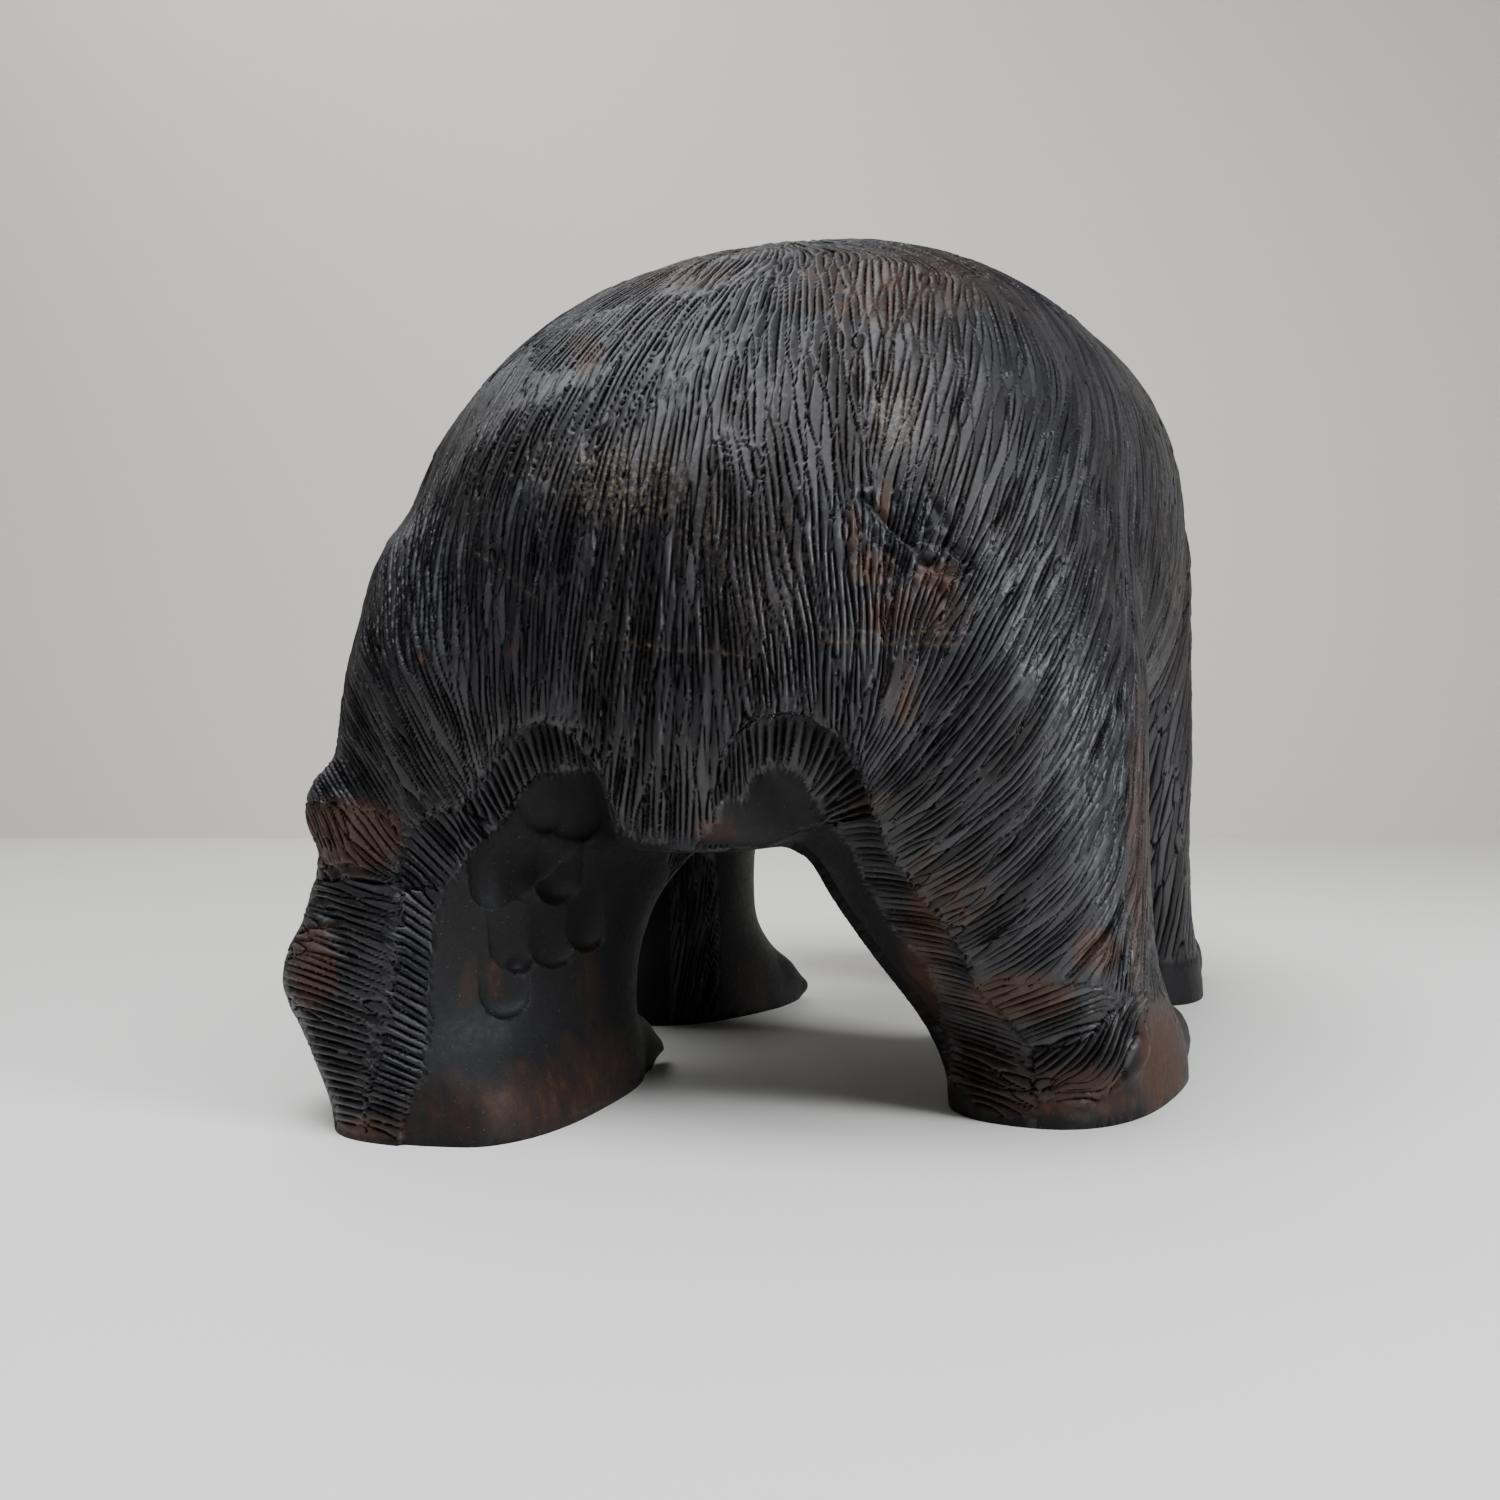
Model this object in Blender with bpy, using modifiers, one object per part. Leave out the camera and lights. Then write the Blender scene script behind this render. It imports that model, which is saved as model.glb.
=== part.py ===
"""A wooden bear, carved from one block, walking on all fours with its head lowered.

HEIGHT drives everything. The other numbers are hundredths of it, taken from a point on
the ground under the middle of the body: x to the bear's right, y ahead of it, z up.
"""

import math
import random

import bmesh
import bpy
import numpy as np
from mathutils import Matrix, Vector
from mathutils.kdtree import KDTree

HEIGHT = 0.340
SHARE = HEIGHT / 100

RING_POINTS = 32
BODY_VOXEL = 1.2
BODY_SMOOTHING = 18
DETAIL_VOXEL = 0.85
DETAIL_SMOOTHING = 4
RIM_SMOOTHING = 1

LOCK_SPACING = 4.4
LOCK_DEPTH = 1.05
LOCK_LENGTH = (14, 34)
LOCK_STEP = 1.2
TOES = 5
MOUTH_WIDTH = 1.7
MOUTH_DEPTH = 1.0

MOST_TRIANGLES = 9400
SEED = 7


def superellipse(half_across, half_along, squareness):
    """Offsets round one section, which is an ellipse at squareness 2 and nears a box above it."""
    offsets = []
    for i in range(RING_POINTS):
        angle = 2 * math.pi * i / RING_POINTS
        c, s = math.cos(angle), math.sin(angle)
        u = math.copysign(abs(c) ** (2 / squareness), c) * half_across
        v = math.copysign(abs(s) ** (2 / squareness), s) * half_along
        offsets.append((u, v))
    return offsets


def loft(mesh, rings):
    """Adds a closed body through the rings of points to the bmesh."""
    loops = [[mesh.verts.new(point) for point in points] for points in rings]
    for lower, upper in zip(loops, loops[1:]):
        for i in range(RING_POINTS):
            j = (i + 1) % RING_POINTS
            mesh.faces.new((lower[i], lower[j], upper[j], upper[i]))
    mesh.faces.new(reversed(loops[0]))
    mesh.faces.new(loops[-1])


def torso(mesh):
    """Upright sections from the rump to the chest: y, x, bottom, top, half width, squareness."""
    stations = (
        (-71, -1, 34, 49, 10, 2.0),
        (-69, -1, 28, 60, 20, 2.1),
        (-64, -1, 26, 70, 28, 2.2),
        (-56, -1, 26, 79, 33, 2.2),
        (-46, -0.5, 26, 86, 36, 2.2),
        (-34, 0, 26, 91, 37.5, 2.25),
        (-18, 0.5, 26, 94.2, 38.3, 2.25),
        (2, 0.5, 25, 96.8, 39.4, 2.3),
        (20, 0.5, 25, 100.6, 40.1, 2.3),
        (34, 0.5, 26, 99.2, 37.2, 2.25),
        (46, 0.5, 29, 94, 31, 2.1),
        (56, 0.5, 35, 84, 22, 2.0),
        (62, 0.5, 43, 72, 11, 2.0),
    )
    rings = []
    for y, x, bottom, top, half_width, squareness in stations:
        centre = Vector((x, y, (bottom + top) / 2))
        section = superellipse(half_width, (top - bottom) / 2, squareness)
        rings.append([centre + Vector((u, 0, v)) for u, v in section])
    loft(mesh, rings)


def limb(mesh, stations):
    """Level sections up a leg: z, y, x, half length, half width, degrees turned out, squareness."""
    rings = []
    for z, y, x, half_length, half_width, turned_out, squareness in stations:
        turn = math.radians(turned_out) * math.copysign(1, x)
        section = superellipse(half_width, half_length, squareness)
        c, s = math.cos(turn), math.sin(turn)
        rings.append([Vector((x + u * c + v * s, y - u * s + v * c, z)) for u, v in section])
    loft(mesh, rings)


def left_hind_leg(mesh):
    limb(mesh, (
        (-5, -52, -24.7, 20.0, 11.9, 0, 2.9),
        (2, -52, -24.7, 20.0, 11.9, 0, 2.9),
        (5, -52.5, -25.8, 19.6, 12.2, -4, 3.0),
        (9, -53, -27.4, 17.5, 12.4, -18, 3.2),
        (14, -53, -27.6, 17.5, 12.6, -22, 3.2),
        (20, -51.5, -26.6, 18, 13.4, -20, 3.1),
        (26, -48.5, -24.2, 20, 16.4, -15, 2.8),
        (32, -47, -22.5, 22, 18.5, -8, 2.5),
        (43, -45, -22.5, 26, 18, 0, 2.2),
        (55, -40, -22.0, 27, 18, 0, 2.1),
        (68, -35, -17.0, 22, 17, 0, 2.0),
        (80, -30, -12.0, 14, 12, 0, 2.0),
    ))


def right_hind_leg(mesh):
    limb(mesh, (
        (-5, -28, 30.3, 20.2, 10.8, 10, 2.6),
        (2, -28, 30.3, 20.2, 10.8, 10, 2.6),
        (5, -29, 29.6, 19.4, 11.0, 10, 2.7),
        (9, -32, 28.0, 18, 11.8, 6, 2.8),
        (15, -34, 25.2, 20, 13.5, 2, 2.9),
        (22, -35, 22.6, 23, 16.0, 0, 2.7),
        (30, -36, 21.0, 27, 17.5, 0, 2.3),
        (42, -36, 20.5, 31, 18.0, 0, 2.2),
        (56, -34, 19.0, 31, 18.0, 0, 2.1),
        (70, -31, 16.5, 24, 17, 0, 2.0),
        (82, -28, 12.0, 14, 12, 0, 2.0),
    ))


def left_foreleg(mesh):
    limb(mesh, (
        (-5, 6, -25.0, 17.0, 10.8, -20, 2.6),
        (2, 6, -25.0, 17.0, 10.8, -20, 2.6),
        (6, 5, -25.5, 15.0, 10.8, -18, 2.5),
        (12, 2, -27.0, 12.5, 10.8, -10, 2.4),
        (22, 4, -27.5, 13, 11.0, 0, 2.3),
        (34, 8, -26.5, 15, 12.5, 0, 2.2),
        (48, 13, -25.0, 18, 14.5, 0, 2.1),
        (64, 18, -22.5, 19, 16.5, 0, 2.0),
        (80, 20, -17.0, 15, 15, 0, 2.0),
    ))


def right_foreleg(mesh):
    limb(mesh, (
        (-5, 41, 31.0, 17.0, 10.8, -8, 2.6),
        (2, 41, 31.0, 17.0, 10.8, -8, 2.6),
        (6, 39, 30.5, 15.0, 10.8, -6, 2.5),
        (12, 34, 30.0, 12.5, 10.8, -4, 2.4),
        (22, 32, 29.0, 13, 11.5, 0, 2.3),
        (34, 30, 28.0, 15, 13.0, 0, 2.2),
        (48, 27, 26.0, 18, 15, 0, 2.1),
        (64, 24, 24.0, 19, 17, 0, 2.0),
        (80, 22, 18.0, 15, 15, 0, 2.0),
    ))


def ball(mesh, centre, radii, pitch=0.0, heading=0.0):
    """Adds an ellipsoid with the radii along x, y and z, its nose pitched down, then turned to the heading."""
    matrix = (
        Matrix.Translation(centre)
        @ Matrix.Rotation(math.radians(-heading), 4, "Z")
        @ Matrix.Rotation(math.radians(-pitch), 4, "X")
        @ Matrix.Diagonal((*radii, 1))
    )
    bmesh.ops.create_uvsphere(mesh, u_segments=28, v_segments=18, radius=1, matrix=matrix)


def neck(mesh):
    ball(mesh, (0.5, 38, 74), (28, 22, 24), 30)
    ball(mesh, (0.5, 49, 67), (22.5, 16, 18), 30)


def skull(mesh):
    ball(mesh, (0.5, 62, 62.5), (18, 15.5, 16.5), 20)
    for side in (-1, 1):
        ball(mesh, (0.5 + side * 10, 63.5, 53.5), (9.0, 10, 10), 20)
        ball(mesh, (0.5 + side * 7, 72.5, 66.5), (5.0, 4.6, 3.0), 35)


def muzzle(mesh):
    """Sections from between the eyes to the nose, square to the line of the snout."""
    stations = (
        (62, 58.5, 13.0, 12.5),
        (70, 55.8, 12.0, 11.3),
        (76, 53.2, 10.3, 9.8),
        (81, 50.8, 9.2, 8.6),
        (84.3, 49.2, 7.8, 7.3),
        (86, 48.4, 5.4, 5.2),
    )
    pitch = math.radians(30)
    deep = Vector((0, math.sin(pitch), math.cos(pitch)))
    rings = []
    for y, z, half_width, half_depth in stations:
        section = superellipse(half_width, half_depth, 2.3)
        rings.append([Vector((0.5 + u, y, z)) + deep * v for u, v in section])
    loft(mesh, rings)


def face(mesh):
    """Nose, eyes and ears."""
    ball(mesh, (0.5, 86.0, 53.8), (4.6, 3.0, 3.0), 30)
    for side in (-1, 1):
        ball(mesh, (0.5 + side * 8.3, 75.0, 62.2), (2.0, 2.0, 2.0))
        ball(mesh, (0.5 + side * 14.5, 60.5, 79.5), (6.2, 3.4, 6.6), 8, side * 14)


def tufts(mesh):
    """The bunched fur that stands out at the hocks."""
    ball(mesh, (-34.4, -59.5, 13.4), (8.4, 10, 7.8), 6, 15)
    ball(mesh, (-33.0, -59, 29.3), (7.6, 9.5, 6.6), 6, 15)
    ball(mesh, (27.5, -45.5, 15.2), (11.0, 6.5, 5.8), 0, -12)
    ball(mesh, (31.5, -43.5, 7.2), (8.0, 6.0, 4.4), 0, -12)


def toes(mesh, x, y, heading, spread, length):
    """Toes across the front of a paw, the middle one furthest ahead, each with its claw."""
    turn = math.radians(heading)
    ahead = Vector((math.sin(turn), math.cos(turn), 0))
    aside = Vector((math.cos(turn), -math.sin(turn), 0))
    middle = (TOES - 1) / 2
    for i in range(TOES):
        off = i - middle
        fan = heading + 7 * off
        centre = Vector((x, y, 2.6)) + aside * (off * spread) - ahead * (0.9 * off * off)
        ball(mesh, centre, (spread * 0.6, length, 5.0), 6, fan)
        out = Vector((math.sin(math.radians(fan)), math.cos(math.radians(fan)), 0))
        ball(mesh, centre + out * (length * 0.9) - Vector((0, 0, 0.4)), (1.15, 3.2, 1.7), 22, fan)


def paws(mesh):
    toes(mesh, -26.4, -36, -2, 4.3, 8)
    toes(mesh, 30.0, -12, 4, 4.3, 8)
    toes(mesh, -23.0, 15.2, 12, 4.0, 7.3)
    toes(mesh, 30, 54.0, -8, 4.3, 7.5)


def groin_hollows(mesh):
    """The two scoops that leave the tail standing between them, and the hollow under it."""
    ball(mesh, (-12.6, -75, 26.5), (8.9, 13, 12.2))
    ball(mesh, (12.0, -74, 26), (8.8, 13, 12.6))


def fused(mesh, voxel, smoothing, base=None):
    """The shells of the mesh, and the base if any, made one closed body and rubbed down."""
    if base:
        both = bmesh.new()
        both.from_mesh(mesh)
        both.from_mesh(base)
        both.to_mesh(mesh)
        both.free()
    obj = bpy.data.objects.new("fused", mesh)
    bpy.context.scene.collection.objects.link(obj)
    fuse = obj.modifiers.new("fuse", "REMESH")
    fuse.mode = "VOXEL"
    fuse.voxel_size = voxel
    rub = obj.modifiers.new("rub", "SMOOTH")
    rub.factor = 0.5
    rub.iterations = smoothing
    return applied(obj)


def applied(obj):
    """The object's mesh with its modifiers applied. The object is removed."""
    evaluated = obj.evaluated_get(bpy.context.evaluated_depsgraph_get())
    mesh = bpy.data.meshes.new_from_object(evaluated)
    bpy.data.objects.remove(obj)
    return mesh


def cut(base, cutter_mesh):
    """The base mesh with the cutter's volume taken away."""
    obj = bpy.data.objects.new("base", base)
    tool = bpy.data.objects.new("tool", cutter_mesh)
    for item in (obj, tool):
        bpy.context.scene.collection.objects.link(item)
    gouge = obj.modifiers.new("gouge", "BOOLEAN")
    gouge.operation = "DIFFERENCE"
    gouge.solver = "EXACT"
    gouge.object = tool
    mesh = applied(obj)
    bpy.data.objects.remove(tool)
    return mesh


def arrays(mesh):
    count = len(mesh.vertices)
    points = np.empty(count * 3)
    mesh.vertices.foreach_get("co", points)
    normals = np.empty(count * 3)
    mesh.vertices.foreach_get("normal", normals)
    return points.reshape(-1, 3), normals.reshape(-1, 3)


def ramp(values, low, high):
    """0 below low, 1 above high, eased between."""
    t = np.clip((values - low) / (high - low), 0, 1)
    return t * t * (3 - 2 * t)


def bare(points, normals):
    """1 where the wood is left smooth: the soles, the inner sides of the legs, the groin and the snout."""
    x, y, z = points.T
    inward = -np.sign(x) * normals[:, 0]
    between_legs = ramp(28 - z, 0, 3) * ramp(inward, 0.35, 0.6)
    underneath = ramp(-normals[:, 2], 0.55, 0.75) * ramp(40 - z, 0, 3)
    snout = ramp(y, 76, 79) * ramp(66 - z, 0, 2)
    paw = ramp(7 - z, 0, 1.5)
    return np.clip(between_legs + underneath + snout + paw, 0, 1)


def lie_of_fur(points, normals):
    """The way the fur lies at each point, as unit vectors along the surface."""
    x, y, z = points.T
    side = np.sign(x) * ramp(np.abs(x), 0, 12)
    thigh = ramp(y, -12, -34) * ramp(62 - z, 0, 30)
    lie = np.stack((
        0.9 * side * ramp(z, 60, 90) - 0.75 * side * thigh,
        -0.55 * ramp(y, -45, 0) * ramp(z, 30, 60) - 0.2,
        -1.0 + 0 * z,
    ), axis=1)
    headward = ramp(y, 58, 68) * ramp(z, 38, 46)
    lie = lie * (1 - headward[:, None]) + headward[:, None] * np.array((0, -1.0, 0.7))
    lie -= normals * np.sum(lie * normals, axis=1)[:, None]
    return lie / np.maximum(np.linalg.norm(lie, axis=1), 1e-6)[:, None]


class Grid:
    """Points filed by cell, to tell which lie near a place."""

    def __init__(self, cell):
        self.cell = cell
        self.cells = {}

    def key(self, point):
        return tuple(int(math.floor(value / self.cell)) for value in point)

    def add(self, point, line):
        self.cells.setdefault(self.key(point), []).append((point, line))

    def crowded(self, point, line, distance):
        i, j, k = self.key(point)
        for a in (i - 1, i, i + 1):
            for b in (j - 1, j, j + 1):
                for c in (k - 1, k, k + 1):
                    for other, owner in self.cells.get((a, b, c), ()):
                        if owner != line and (other - point).length < distance:
                            return True
        return False


def filed(points):
    tree = KDTree(len(points))
    for i, point in enumerate(points):
        tree.insert(point, i)
    tree.balance()
    return tree


def comb(tree, points, normals, lie, covered, spacing, step, lengths):
    """Lines of fur along the surface, about the spacing apart, each a list of positions."""
    chance = random.Random(SEED)
    order = [i for i in range(len(points)) if covered[i]]
    chance.shuffle(order)
    grid = Grid(spacing)
    lines = []
    for start in order:
        origin = Vector(points[start])
        number = len(lines)
        if grid.crowded(origin, number, spacing * 0.93):
            continue
        reach = chance.uniform(*lengths) / 2
        line = [origin]
        for way in (1, -1):
            here, index, gone = origin, start, 0.0
            stretch = []
            while gone < reach:
                there = here + Vector(lie[index]) * (way * step)
                near, index, _ = tree.find(there)
                normal = Vector(normals[index])
                there -= normal * (there - near).dot(normal)
                if not covered[index] or grid.crowded(there, number, spacing * 0.72):
                    break
                stretch.append(there)
                here = there
                gone += step
            line = line + stretch if way > 0 else stretch[::-1] + line
        if len(line) < 3:
            continue
        for point in line:
            grid.add(point, number)
        lines.append(line)
    return lines


def gouge(tree, points, normals, lines, spacing, depth):
    """How far each vertex is cut in by round grooves along the lines, which leave ridges between them."""
    cut_in = np.zeros(len(points))
    half = spacing * 0.62
    vertices, starts, ends, first, last = [], [], [], [], []
    for line in lines:
        count = len(line) - 1
        for i in range(count):
            a, b = line[i], line[i + 1]
            found = tree.find_range((a + b) / 2, half + (b - a).length / 2)
            taper_a = min(1.0, 4 * min(i, count - i) / count)
            taper_b = min(1.0, 4 * min(i + 1, count - i - 1) / count)
            for _, index, _ in found:
                vertices.append(index)
                starts.append(a)
                ends.append(b)
                first.append(taper_a)
                last.append(taper_b)
    vertices = np.array(vertices)
    a, b = np.array(starts), np.array(ends)
    along = b - a
    offset = points[vertices] - a
    t = np.clip(np.sum(offset * along, axis=1) / np.sum(along * along, axis=1), 0, 1)
    offset -= along * t[:, None]
    normal = normals[vertices]
    offset -= normal * np.sum(offset * normal, axis=1)[:, None]
    taper = np.array(first) * (1 - t) + np.array(last) * t
    sunk = depth * (0.35 + 0.65 * taper) * (1 - np.sum(offset * offset, axis=1) / (half * half))
    np.maximum.at(cut_in, vertices, sunk)
    return cut_in


def mouth():
    """The line of the mouth, from one cheek round under the nose to the other."""
    line = []
    steps = 24
    for i in range(steps + 1):
        t = 2 * i / steps - 1
        line.append(Vector((0.5 + 10.5 * math.sin(t * math.pi / 2), 88 - 15 * t * t, 46.6 + 4.0 * t * t)))
    return line


def carved(mesh):
    """Carves the locks of fur and the mouth into the mesh."""
    points, normals = arrays(mesh)
    tree = filed(points)
    smooth = bare(points, normals)
    lie = lie_of_fur(points, normals)
    locks = comb(tree, points, normals, lie, smooth < 0.5, LOCK_SPACING, LOCK_STEP, LOCK_LENGTH)
    depth = gouge(tree, points, normals, locks, LOCK_SPACING, LOCK_DEPTH) * (1 - smooth)
    depth = np.maximum(depth, gouge(tree, points, normals, [mouth()], MOUTH_WIDTH, MOUTH_DEPTH))
    points = points - normals * depth[:, None]
    mesh.vertices.foreach_set("co", points.ravel())
    mesh.update()


def ground(mesh):
    """A block under the floor, which cuts the soles flat."""
    matrix = Matrix.Translation((0, 0, -20)) @ Matrix.Diagonal((200, 300, 40, 1))
    bmesh.ops.create_cube(mesh, size=1, matrix=matrix)


def body_of(builders):
    """The builders' bodies as one mesh, left as separate shells."""
    mesh = bmesh.new()
    for build in builders:
        build(mesh)
    bmesh.ops.recalc_face_normals(mesh, faces=mesh.faces)
    data = bpy.data.meshes.new("body")
    mesh.to_mesh(data)
    mesh.free()
    return data


def thinned(mesh):
    """The mesh with its flatter triangles merged until it is light enough."""
    obj = bpy.data.objects.new("thin", mesh)
    bpy.context.scene.collection.objects.link(obj)
    mesh.calc_loop_triangles()
    thin = obj.modifiers.new("thin", "DECIMATE")
    thin.ratio = MOST_TRIANGLES / len(mesh.loop_triangles)
    return applied(obj)


def centred(mesh):
    """Moves the mesh so that the middle of its box is over the origin."""
    points, _ = arrays(mesh)
    middle = (points.min(axis=0) + points.max(axis=0)) / 2
    mesh.transform(Matrix.Translation((-middle[0], -middle[1], 0)))


def stained_wood():
    material = bpy.data.materials.new("stained wood")
    material.use_nodes = True
    shader = material.node_tree.nodes["Principled BSDF"]
    shader.inputs["Base Color"].default_value = (0.035, 0.032, 0.034, 1)
    shader.inputs["Roughness"].default_value = 0.5
    shader.inputs["Metallic"].default_value = 0
    material.diffuse_color = (0.12, 0.10, 0.10, 1)
    return material


def main():
    for obj in list(bpy.data.objects):
        bpy.data.objects.remove(obj)
    limbs = (torso, left_hind_leg, right_hind_leg, left_foreleg, right_foreleg, neck)
    form = fused(body_of(limbs), BODY_VOXEL, BODY_SMOOTHING)
    form = fused(body_of((skull, muzzle, face, tufts, paws)), DETAIL_VOXEL, DETAIL_SMOOTHING, form)
    form = cut(form, body_of((groin_hollows,)))
    form = fused(form, DETAIL_VOXEL, RIM_SMOOTHING)
    carved(form)
    form = cut(thinned(form), body_of((ground,)))
    centred(form)
    form.transform(Matrix.Scale(SHARE, 4))
    form.materials.append(stained_wood())
    bear = bpy.data.objects.new("bear", form)
    carving = bpy.data.collections.new("carved wooden bear")
    bpy.context.scene.collection.children.link(carving)
    carving.objects.link(bear)


main()
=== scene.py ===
import math
import random
from functools import partial

import bmesh
import bpy
import numpy as np
from mathutils import Matrix, Vector
from mathutils.kdtree import KDTree


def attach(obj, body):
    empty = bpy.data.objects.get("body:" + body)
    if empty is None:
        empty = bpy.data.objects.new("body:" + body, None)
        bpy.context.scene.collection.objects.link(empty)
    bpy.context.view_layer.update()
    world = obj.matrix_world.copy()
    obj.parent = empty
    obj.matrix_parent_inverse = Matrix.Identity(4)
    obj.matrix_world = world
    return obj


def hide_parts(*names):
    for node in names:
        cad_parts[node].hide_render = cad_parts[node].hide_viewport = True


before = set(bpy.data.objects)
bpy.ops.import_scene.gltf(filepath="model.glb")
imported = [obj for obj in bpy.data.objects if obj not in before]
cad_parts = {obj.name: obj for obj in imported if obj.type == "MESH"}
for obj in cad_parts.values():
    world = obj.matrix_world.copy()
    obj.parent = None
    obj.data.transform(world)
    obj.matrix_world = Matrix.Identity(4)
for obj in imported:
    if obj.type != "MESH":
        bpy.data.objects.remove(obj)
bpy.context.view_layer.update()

# The bear's own measure: hundredths of its height, from a point on the ground under the
# middle of the body. x runs to the bear's right, y ahead of it and z up.
HEIGHT = 0.340
SHARE = HEIGHT / 100

RING_POINTS = 32
BODY_VOXEL = 1.2
BODY_SMOOTHING = 18
DETAIL_VOXEL = 0.85
DETAIL_SMOOTHING = 4
RIM_VOXEL = 0.7
RIM_SMOOTHING = 1
LEG_ROOT = -5
TOES = 5
SEED = 7

# The camera, in shares. It looks level at the rump from behind and to the right.
EYE = np.array((46.8, -189.9, 35.5))
AHEAD = np.array((-0.309, 0.951, 0.0))
ASIDE = np.array((0.951, 0.309, 0.0))
UP = np.array((0.0, 0.0, 1.0))
# The picture's width, and the lens in mm, which is as long as the sensor is wide.
PICTURE = 1500
LENS = 36.0

# The fine mesh: the longest edge left uncut where strokes go, how far a new point moves out to
# the curve of the surface, and how many triangles are kept.
LONGEST_EDGE = 0.27
ROUNDING = 0.35
MOST_TRIANGLES = 950000


def superellipse(half_across, half_along, squareness):
    """Offsets round a section: an ellipse at squareness 2, nearer a box above it."""
    offsets = []
    for i in range(RING_POINTS):
        angle = 2 * math.pi * i / RING_POINTS
        c, s = math.cos(angle), math.sin(angle)
        u = math.copysign(abs(c) ** (2 / squareness), c) * half_across
        v = math.copysign(abs(s) ** (2 / squareness), s) * half_along
        offsets.append((u, v))
    return offsets


def loft(mesh, rings):
    """Adds a closed body through the rings of points."""
    loops = [[mesh.verts.new(point) for point in points] for points in rings]
    for lower, upper in zip(loops, loops[1:]):
        for i in range(RING_POINTS):
            j = (i + 1) % RING_POINTS
            mesh.faces.new((lower[i], lower[j], upper[j], upper[i]))
    mesh.faces.new(reversed(loops[0]))
    mesh.faces.new(loops[-1])


# Upright sections from the rump to the chest: y, x, bottom, top, half width, squareness.
TORSO = (
    (-71, -1, 34, 49, 10, 2), (-69, -1, 28, 60, 20, 2.1),
    (-64, -1, 26, 70, 28, 2.2), (-56, -1, 26, 79, 33, 2.2),
    (-46, -0.5, 26, 86, 36, 2.2), (-34, 0, 26, 91, 37.5, 2.25),
    (-18, 0.5, 26, 94.2, 38.3, 2.25), (2, 0.5, 25, 96.8, 39.4, 2.3),
    (20, 0.5, 25, 100.6, 40.1, 2.3), (34, 0.5, 26, 99.2, 37.2, 2.25),
    (46, 0.5, 29, 94, 31, 2.1), (56, 0.5, 35, 84, 22, 2),
    (62, 0.5, 43, 72, 11, 2),
)
# Level sections up each leg: z, y, x, half length, half width, degrees turned out, squareness.
LEGS = {
    "left hind": (
        (2, -52, -24.7, 20, 11.9, 0, 2.9), (5, -52.5, -25.8, 19.6, 12.2, -4, 3),
        (9, -53, -27.4, 17.5, 12.4, -18, 3.2), (14, -53, -27.6, 17.5, 12.6, -22, 3.2),
        (20, -51.5, -26.6, 18, 13.4, -20, 3.1), (26, -48.5, -24.2, 20, 16.4, -15, 2.8),
        (32, -47, -22.5, 22, 18.5, -8, 2.5), (43, -45, -22.5, 26, 18, 0, 2.2),
        (55, -40, -22, 27, 18, 0, 2.1), (68, -35, -17, 22, 17, 0, 2),
        (80, -30, -12, 14, 12, 0, 2),
    ),
    "right hind": (
        (2, -28, 30.3, 20.2, 10.8, 10, 2.6), (5, -29, 29.6, 19.4, 11, 10, 2.7),
        (9, -32, 28, 18, 11.8, 6, 2.8), (15, -34, 25.2, 20, 13.5, 2, 2.9),
        (22, -35, 22.6, 23, 16, 0, 2.7), (30, -36, 21, 27, 17.5, 0, 2.3),
        (42, -36, 20.5, 31, 18, 0, 2.2), (56, -34, 19, 31, 18, 0, 2.1),
        (70, -31, 16.5, 24, 17, 0, 2), (82, -28, 12, 14, 12, 0, 2),
    ),
    "left fore": (
        (2, 6, -25, 17, 10.8, -20, 2.6), (6, 5, -25.5, 15, 10.8, -18, 2.5),
        (12, 2, -27, 12.5, 10.8, -10, 2.4), (22, 4, -27.5, 13, 11, 0, 2.3),
        (34, 8, -26.5, 15, 12.5, 0, 2.2), (48, 13, -25, 18, 14.5, 0, 2.1),
        (64, 18, -22.5, 19, 16.5, 0, 2), (80, 20, -17, 15, 15, 0, 2),
    ),
    "right fore": (
        (2, 41, 31, 17, 10.8, -8, 2.6), (6, 39, 30.5, 15, 10.8, -6, 2.5),
        (12, 34, 30, 12.5, 10.8, -4, 2.4), (22, 32, 29, 13, 11.5, 0, 2.3),
        (34, 30, 28, 15, 13, 0, 2.2), (48, 27, 26, 18, 15, 0, 2.1),
        (64, 24, 24, 19, 17, 0, 2), (80, 22, 18, 15, 15, 0, 2),
    ),
}
# Sections from between the eyes to the nose, square to the snout: y, z, half width, half depth.
MUZZLE = (
    (62, 58.5, 13, 12.5), (70, 55.8, 12, 11.3),
    (76, 53.2, 10.3, 9.8), (81, 50.8, 9.2, 8.6),
    (84.3, 49.2, 7.8, 7.3), (86, 48.4, 5.4, 5.2),
)
MUZZLE_PITCH = 30
MUZZLE_SQUARENESS = 2.3


def torso(mesh):
    rings = []
    for y, x, bottom, top, half_width, squareness in TORSO:
        centre = Vector((x, y, (bottom + top) / 2))
        section = superellipse(half_width, (top - bottom) / 2, squareness)
        rings.append([centre + Vector((u, 0, v)) for u, v in section])
    loft(mesh, rings)


def legs(mesh):
    """Each leg, from a root below the ground, where its sole is cut flat later."""
    for stations in LEGS.values():
        root = (LEG_ROOT, *stations[0][1:])
        rings = []
        for z, y, x, half_length, half_width, turned_out, squareness in (root, *stations):
            turn = math.radians(turned_out) * math.copysign(1, x)
            section = superellipse(half_width, half_length, squareness)
            c, s = math.cos(turn), math.sin(turn)
            rings.append([Vector((x + u * c + v * s, y - u * s + v * c, z)) for u, v in section])
        loft(mesh, rings)


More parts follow.
